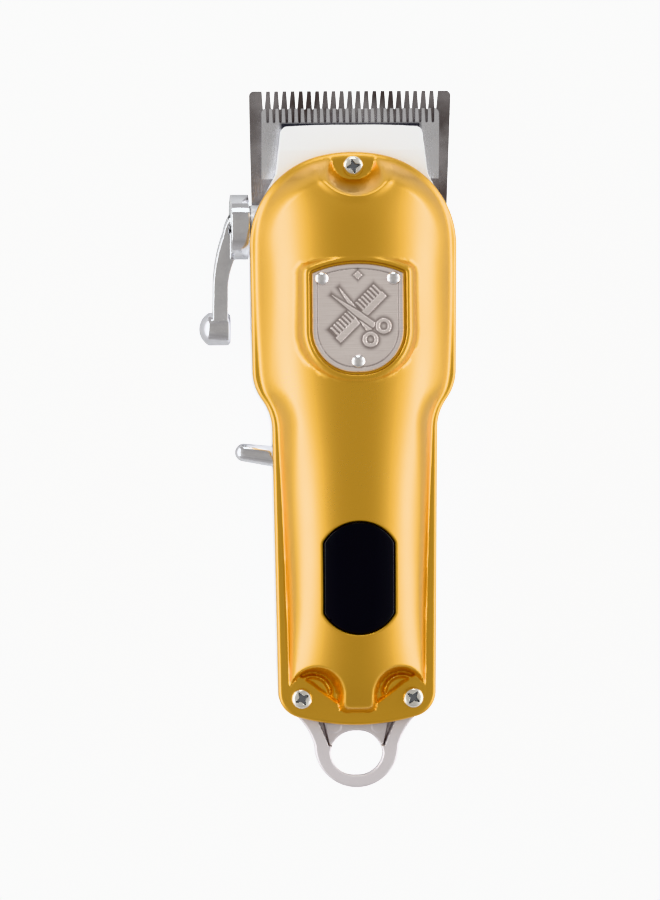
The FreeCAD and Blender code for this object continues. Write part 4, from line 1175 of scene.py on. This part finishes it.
@dataclass
class HangingHook:
    """The flat hook under the tail with its eye, thin web and the grooves beside it."""

    level: float = 15.6
    top: float = 19.6
    web: float = 18.3
    groove: float = 16.4
    bevel: float = 0.55
    eye_line: float = -70.0
    leg_half: float = 6.5
    leg_spread: float = 3.1 / 7.5
    web_half: float = 6.3
    web_spread: float = 0.55 * 3.1 / 7.5
    wall_run: float = 0.18
    boss_place: tuple[float, float] = (5.1, -65.6)
    boss_radius: float = 1.7
    boss_height: float = 0.14
    rings: ClassVar[tuple[float, ...]] = (0.05, 0.14, 0.27, 0.42, 0.6)
    patches: ClassVar[tuple] = (
        ((-12.0, -71.0), (12.0, -61.0), 0.2),
        ((-17.2, -61.0), (17.2, -53.4), 0.8),
        ((-17.2, -79.8), (17.2, -71.0), 0.6),
    )

    def outer(self) -> Plan:
        """The hook's outline."""
        right = [(0.0, -53.4), (17.1, -53.4), (17.1, -57.6), (15.4, -61.9, 5.6),
                 (9.6, -70.2, -14.5), (0.0, -79.7, 9.6)]
        return evenly(trace(right, 0.1), 0.3)

    def eye(self) -> Plan:
        """The eye's outline."""
        right = [(0.0, -66.8), (6.0, -71.8, 5.6), (0.0, -76.8, 5.6)]
        return evenly(trace(right, 0.1), 0.25)

    def heights(self, plan: Plan) -> tuple[Plan, Plan]:
        """Upper and lower height of the hook at each place."""
        x, y = np.abs(plan[:, 0]), plan[:, 1]
        from_edge = depth_in(plan, self.outer())
        from_eye = -depth_in(plan, self.eye())
        drop = rounding(from_edge, self.bevel, 0.5) + rounding(from_eye, 0.5, 0.4)
        beyond = y - self.eye_line
        off_leg = x - self.leg_half - self.leg_spread * beyond
        off_web = x - self.web_half - self.web_spread * beyond
        in_groove = ramp(off_leg, 0.0, -self.wall_run) * ramp(beyond, -0.2, 0.0)
        on_web = ramp(off_web, 0.0, -self.wall_run) * in_groove
        from_boss = np.hypot(x - self.boss_place[0], y - self.boss_place[1])
        on_boss = ramp(from_boss, self.boss_radius, self.boss_radius - 0.15) * on_web
        upper = self.top + (self.groove - self.top) * in_groove
        upper += (self.web - self.groove) * on_web + self.boss_height * on_boss
        return upper - drop, self.level + drop

    def build(self) -> bpy.types.Object:
        """Builds the hook."""
        outer, eye = self.outer(), self.eye()
        rings = [shifted(outer, -inset) for inset in self.rings]
        rings += [shifted(eye, inset) for inset in self.rings]
        scatter = np.vstack([grid_over(*patch) for patch in self.patches])
        return Relief("hook_loop", outer, [eye], rings, scatter, 0.15).build(self.heights)


# ---------------------------------------------------------------- badge


@dataclass
class Badge:
    """The steel shield on the cover, with a raised comb and scissors of a general kind."""

    face: float = 34.3
    floor: float = 33.3
    edge_bevel: float = 0.35
    edge_drop: float = 0.3
    line_inset: float = 1.25
    line_width: float = 0.14
    line_depth: float = 0.12
    relief: float = 0.16
    shadow: float = 0.8
    middle: float = 28.2
    comb_half: float = 7.4
    spine_half: float = 0.75
    tooth_half: float = 1.25
    tooth_pitch: float = 0.9
    tooth_gap: float = 0.26
    opening: float = 0.16
    blade_half: float = 0.62
    blade_length: float = 7.4
    tang_length: float = 4.6
    bow_place: tuple[float, float] = (-6.3, 1.15)
    bow_radius: float = 1.35
    bow_wire: float = 0.38
    halo: float = 0.35
    diamond_place: float = 37.0
    diamond_half: float = 0.95

    def comb(self, x: Plan, y: Plan) -> Plan:
        """Distance outside the comb, which lies along a diagonal."""
        u, v = (x + y) * 0.7071, (y - x) * 0.7071
        spine = np.maximum(np.abs(v + 1.0) - self.spine_half, np.abs(u) - self.comb_half)
        teeth = np.maximum(np.abs(v - 0.95) - self.tooth_half, np.abs(u) - self.comb_half + 0.2)
        from_gap = np.abs((u + 20.0) % self.tooth_pitch - self.tooth_pitch / 2)
        return np.minimum(spine, np.maximum(teeth, self.tooth_gap - from_gap))

    def half_scissors(self, x: Plan, y: Plan, turn: float) -> list[Plan]:
        """Distances outside the blade and the bow of one half of the scissors.

        Args:
            x: Places across, from the pivot.
            y: Places along, from the pivot.
            turn: How far the half is turned from the scissors' own line, in radians.

        Returns:
            Both distances.
        """
        cos, sin = math.cos(math.pi * 0.75 + turn), math.sin(math.pi * 0.75 + turn)
        along, off = x * cos + y * sin, y * cos - x * sin
        taper = np.clip(1 - along / (self.blade_length + 0.2), 0.1, 1.0)
        ends = np.maximum(along - self.blade_length, -self.tang_length - along)
        blade = np.maximum(np.abs(off) - self.blade_half * taper, ends)
        bow_along, bow_off = self.bow_place
        bow = np.hypot(along - bow_along, off + bow_off * np.sign(turn)) - self.bow_radius
        return [blade, np.abs(bow) - self.bow_wire]

    def ornament(self, x: Plan, y: Plan) -> Plan:
        """Raised pattern: a comb crossed by open scissors under a small diamond.

        Returns:
            Distance outside the pattern, negative on it.
        """
        along = y - self.middle
        cross = self.comb(x, along)
        for turn in (-self.opening, self.opening):
            for part in self.half_scissors(x, along, turn):
                cross = np.minimum(np.maximum(cross, self.halo - part), part)
        diamond = np.abs(x) + np.abs(y - self.diamond_place) - self.diamond_half
        return np.minimum(cross, diamond)

    def heights(self, plan: Plan) -> tuple[Plan, Plan]:
        """Upper and lower height of the plate at each place."""
        x, y = plan[:, 0], plan[:, 1]
        from_edge = depth_in(plan, BadgePlan().loop(0.3))
        edge = np.clip(1 - from_edge / self.edge_bevel, 0.0, 1.0)
        line = bead(from_edge - self.line_inset, self.line_width)
        upper = self.face - self.edge_drop * edge * edge - self.line_depth * line
        raised = ramp(self.ornament(x, y), 0.08, -0.08) * ramp(from_edge, 1.4, 1.7)
        return upper + self.relief * raised, np.full(len(plan), self.floor)

    def build(self) -> bpy.types.Object:
        """Builds the plate and paints shade onto its face, round the raised pattern and along the line
        near its edge.
        """
        outline = BadgePlan().loop(0.3)
        rings = [evenly(shifted(outline, -inset), 0.3) for inset in (0.08, 0.2, 0.35)]
        scatter = grid_over((-10.5, 15.0), (10.5, 39.7), 0.16)
        plate = Relief("badge_shield", outline, rings=rings, scatter=scatter,
                       clearance=0.12).build(self.heights)
        places = places_of(plate)
        from_edge = depth_in(places[:, :2], BadgePlan().loop(0.3))
        outside = self.ornament(places[:, 0], places[:, 1])
        # Painted shade: a dark halo round the raised pattern and a dark line in the groove near the
        # edge.
        shadow = bead(np.maximum(outside, 0.0), 0.6) * ramp(outside, -0.05, 0.05)
        line = bead(from_edge - self.line_inset, 0.16)
        paint_shade(plate, np.clip(self.shadow * (shadow + line), 0.0, 1.0))
        return plate


# ---------------------------------------------------------------- carried-over nodes


def dress_frame(frame: dict, finishes: dict[str, bpy.types.Material]) -> None:
    """Gives every node of the frame the finish of its record slot, which names its material.

    Args:
        frame: The loaded frame.
        finishes: Material of each slot.
    """
    for name, node in frame["nodes"].items():
        material = finishes[node.data.materials[0].name.split(".")[0]]
        for place in node.material_slots:
            place.material = material
        LOG.info("%s wears %s", name, material.name)


# ---------------------------------------------------------------- studio


@dataclass(frozen=True)
class Softbox:
    """One rectangular soft light, in metres and watts."""

    name: str
    place: tuple[float, float, float]
    size: tuple[float, float]
    power: float
    colour: Colour = (0.98, 1.03, 1.02)

    def make(self, target: Vector) -> None:
        """Adds the light, turned towards a target."""
        data = bpy.data.lights.new(self.name, "AREA")
        data.shape = "RECTANGLE"
        data.size, data.size_y = self.size
        data.energy = self.power
        data.color = self.colour
        light = bpy.data.objects.new(self.name, data)
        bpy.context.scene.collection.objects.link(light)
        light.location = self.place
        light.rotation_euler = (target - light.location).to_track_quat("-Z", "Y").to_euler()


@dataclass
class Studio:
    """The pale floor, the soft lights and the camera above the clipper."""

    boxes: ClassVar[tuple[Softbox, ...]] = (
        Softbox("left_box", (-0.66, 0.05, 0.26), (0.9, 0.26), 2.4),
        Softbox("right_box", (0.66, 0.05, 0.20), (0.9, 0.22), 2.0),
        Softbox("front_fill", (0.0, 0.85, 0.45), (0.5, 0.2), 1.1),
    )
    lit_place: tuple[float, float, float] = (0.0, 0.0, 0.02)
    floor_size: float = 6.0
    floor_depth: float = -0.0002
    floor_tones: tuple[Colour, Colour] = ((0.80, 0.80, 0.81), (0.76, 0.76, 0.77))
    floor_glow: float = 0.9
    horizon: Colour = (1.2, 1.2, 1.2)
    zenith: Colour = (0.37, 0.36, 0.34)
    far_ends: Colour = (0.16, 0.15, 0.14)
    focal: float = 240.0
    seen_height: float = 206.0
    aim: tuple[float, float, float] = (-5.4, -2.5, 17.0)
    lean: float = 4.1
    roll: float = 0.5
    exposure: float = 0.5

    def floor(self) -> None:
        """A wide pale floor just under the clipper."""
        clear_selection()
        bpy.ops.mesh.primitive_plane_add(size=self.floor_size, location=(0.0, 0.0, self.floor_depth))
        floor = bpy.context.object
        floor.name = "studio_floor"
        material = bpy.data.materials.new("studio_white")
        material.use_nodes = True
        wiring = Wiring(material.node_tree)
        principled = material.node_tree.nodes["Principled BSDF"]
        place = wiring.add("TexCoord").outputs["Object"]
        tooth = wiring.add("TexNoise", in_Vector=place, in_Scale=300.0, in_Detail=3.0)
        tone = wiring.mix(tooth.outputs[0], *map(shade, self.floor_tones))
        wiring.put(principled.inputs["Base Color"], tone)
        principled.inputs["Roughness"].default_value = 0.9
        principled.inputs["Emission Color"].default_value = (1.0, 1.0, 1.0, 1.0)
        seen = wiring.add("LightPath").outputs["Is Camera Ray"]
        glow = wiring.math("MULTIPLY", seen, self.floor_glow)
        wiring.put(principled.inputs["Emission Strength"], glow)
        floor.data.materials.append(material)

    def surround(self) -> None:
        """The air round the clipper: bright near the horizon, darker above and at both ends."""
        world = bpy.data.worlds.new("studio_air")
        bpy.context.scene.world = world
        world.use_nodes = True
        wiring = Wiring(world.node_tree)
        background = world.node_tree.nodes["Background"]
        direction = wiring.add("TexCoord").outputs["Generated"]
        axes = wiring.add("SeparateXYZ", in_0=direction).outputs
        upwards = wiring.span(axes["Z"], 0.0, 1.0, 0.15, 0.9)
        tone = wiring.mix(upwards, shade(self.horizon), shade(self.zenith))
        endwards = wiring.span(wiring.math("ABSOLUTE", axes["Y"]), 0.0, 0.75, 0.35, 0.8)
        tone = wiring.mix(endwards, tone, shade(self.far_ends))
        wiring.put(background.inputs["Color"], tone)
        background.inputs["Strength"].default_value = 1.0

    def camera(self) -> None:
        """The camera over the clipper, leaning a little to the lever side."""
        data = bpy.data.cameras.new("view")
        data.lens = self.focal
        camera = bpy.data.objects.new("view", data)
        bpy.context.scene.collection.objects.link(camera)
        bpy.context.scene.camera = camera
        distance = self.seen_height * self.focal / data.sensor_width
        aim = Vector(self.aim)
        lean, roll = math.radians(self.lean), math.radians(self.roll)
        back = Vector((-math.sin(lean), 0.0, math.cos(lean)))
        camera.location = (aim + back * distance) * MM
        up = Vector((math.sin(roll), math.cos(roll), 0.0))
        right = up.cross(back).normalized()
        axes = Matrix((right, back.cross(right), back)).transposed()
        camera.rotation_euler = axes.to_euler()

    def make(self) -> None:
        """Builds the whole studio."""
        self.floor()
        for box in self.boxes:
            box.make(Vector(self.lit_place))
        self.surround()
        self.camera()
        view = bpy.context.scene.view_settings
        view.view_transform = "Khronos PBR Neutral"
        view.exposure = self.exposure


# ---------------------------------------------------------------- assembly


ROUNDED = (
    (RoundedPiece("taper_lever", "lever_polished", 0.55), "taper_lever", "chrome"),
    (RoundedPiece("power_switch", "toggle_polished", 0.25), "power_toggle", "chrome"),
    (RoundedPiece("display_lens", "window_glass", 0.22), "casing", "display_glass"),
)

SHAPED = (
    (GoldCover(), Mounting("casing", "gold_cover", ("top_cover",)), "gold_cover"),
    (CoverScrews(), Mounting("casing", "nickel_screw", ("cover_screws",)), "screw_bright"),
    (HangingHook(), Mounting("casing", "silver_housing", ("hanging_hook",)), "hook_silver"),
    (Badge(), Mounting("casing", "badge_metal", ("badge_plate",)), "badge_metal"),
)


def main(frame: dict) -> None:
    """Builds every piece round the loaded frame.
    """
    logging.basicConfig(level=logging.INFO, format="%(name)s: %(message)s")
    library = DetailLibrary()
    finishes = {slot: finish.material(library) for slot, finish in FINISHES.items()}
    dress_frame(frame, finishes)
    for rounded, body, slot in ROUNDED:
        Mounting(body, slot, (rounded.node,)).fit(rounded.build(frame), finishes[slot])
    for shape, mounting, finish in SHAPED:
        mounting.fit(shape.build(), finishes[finish])
    Studio().make()


if __name__ == "__main__":
    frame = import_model()
    main(frame)
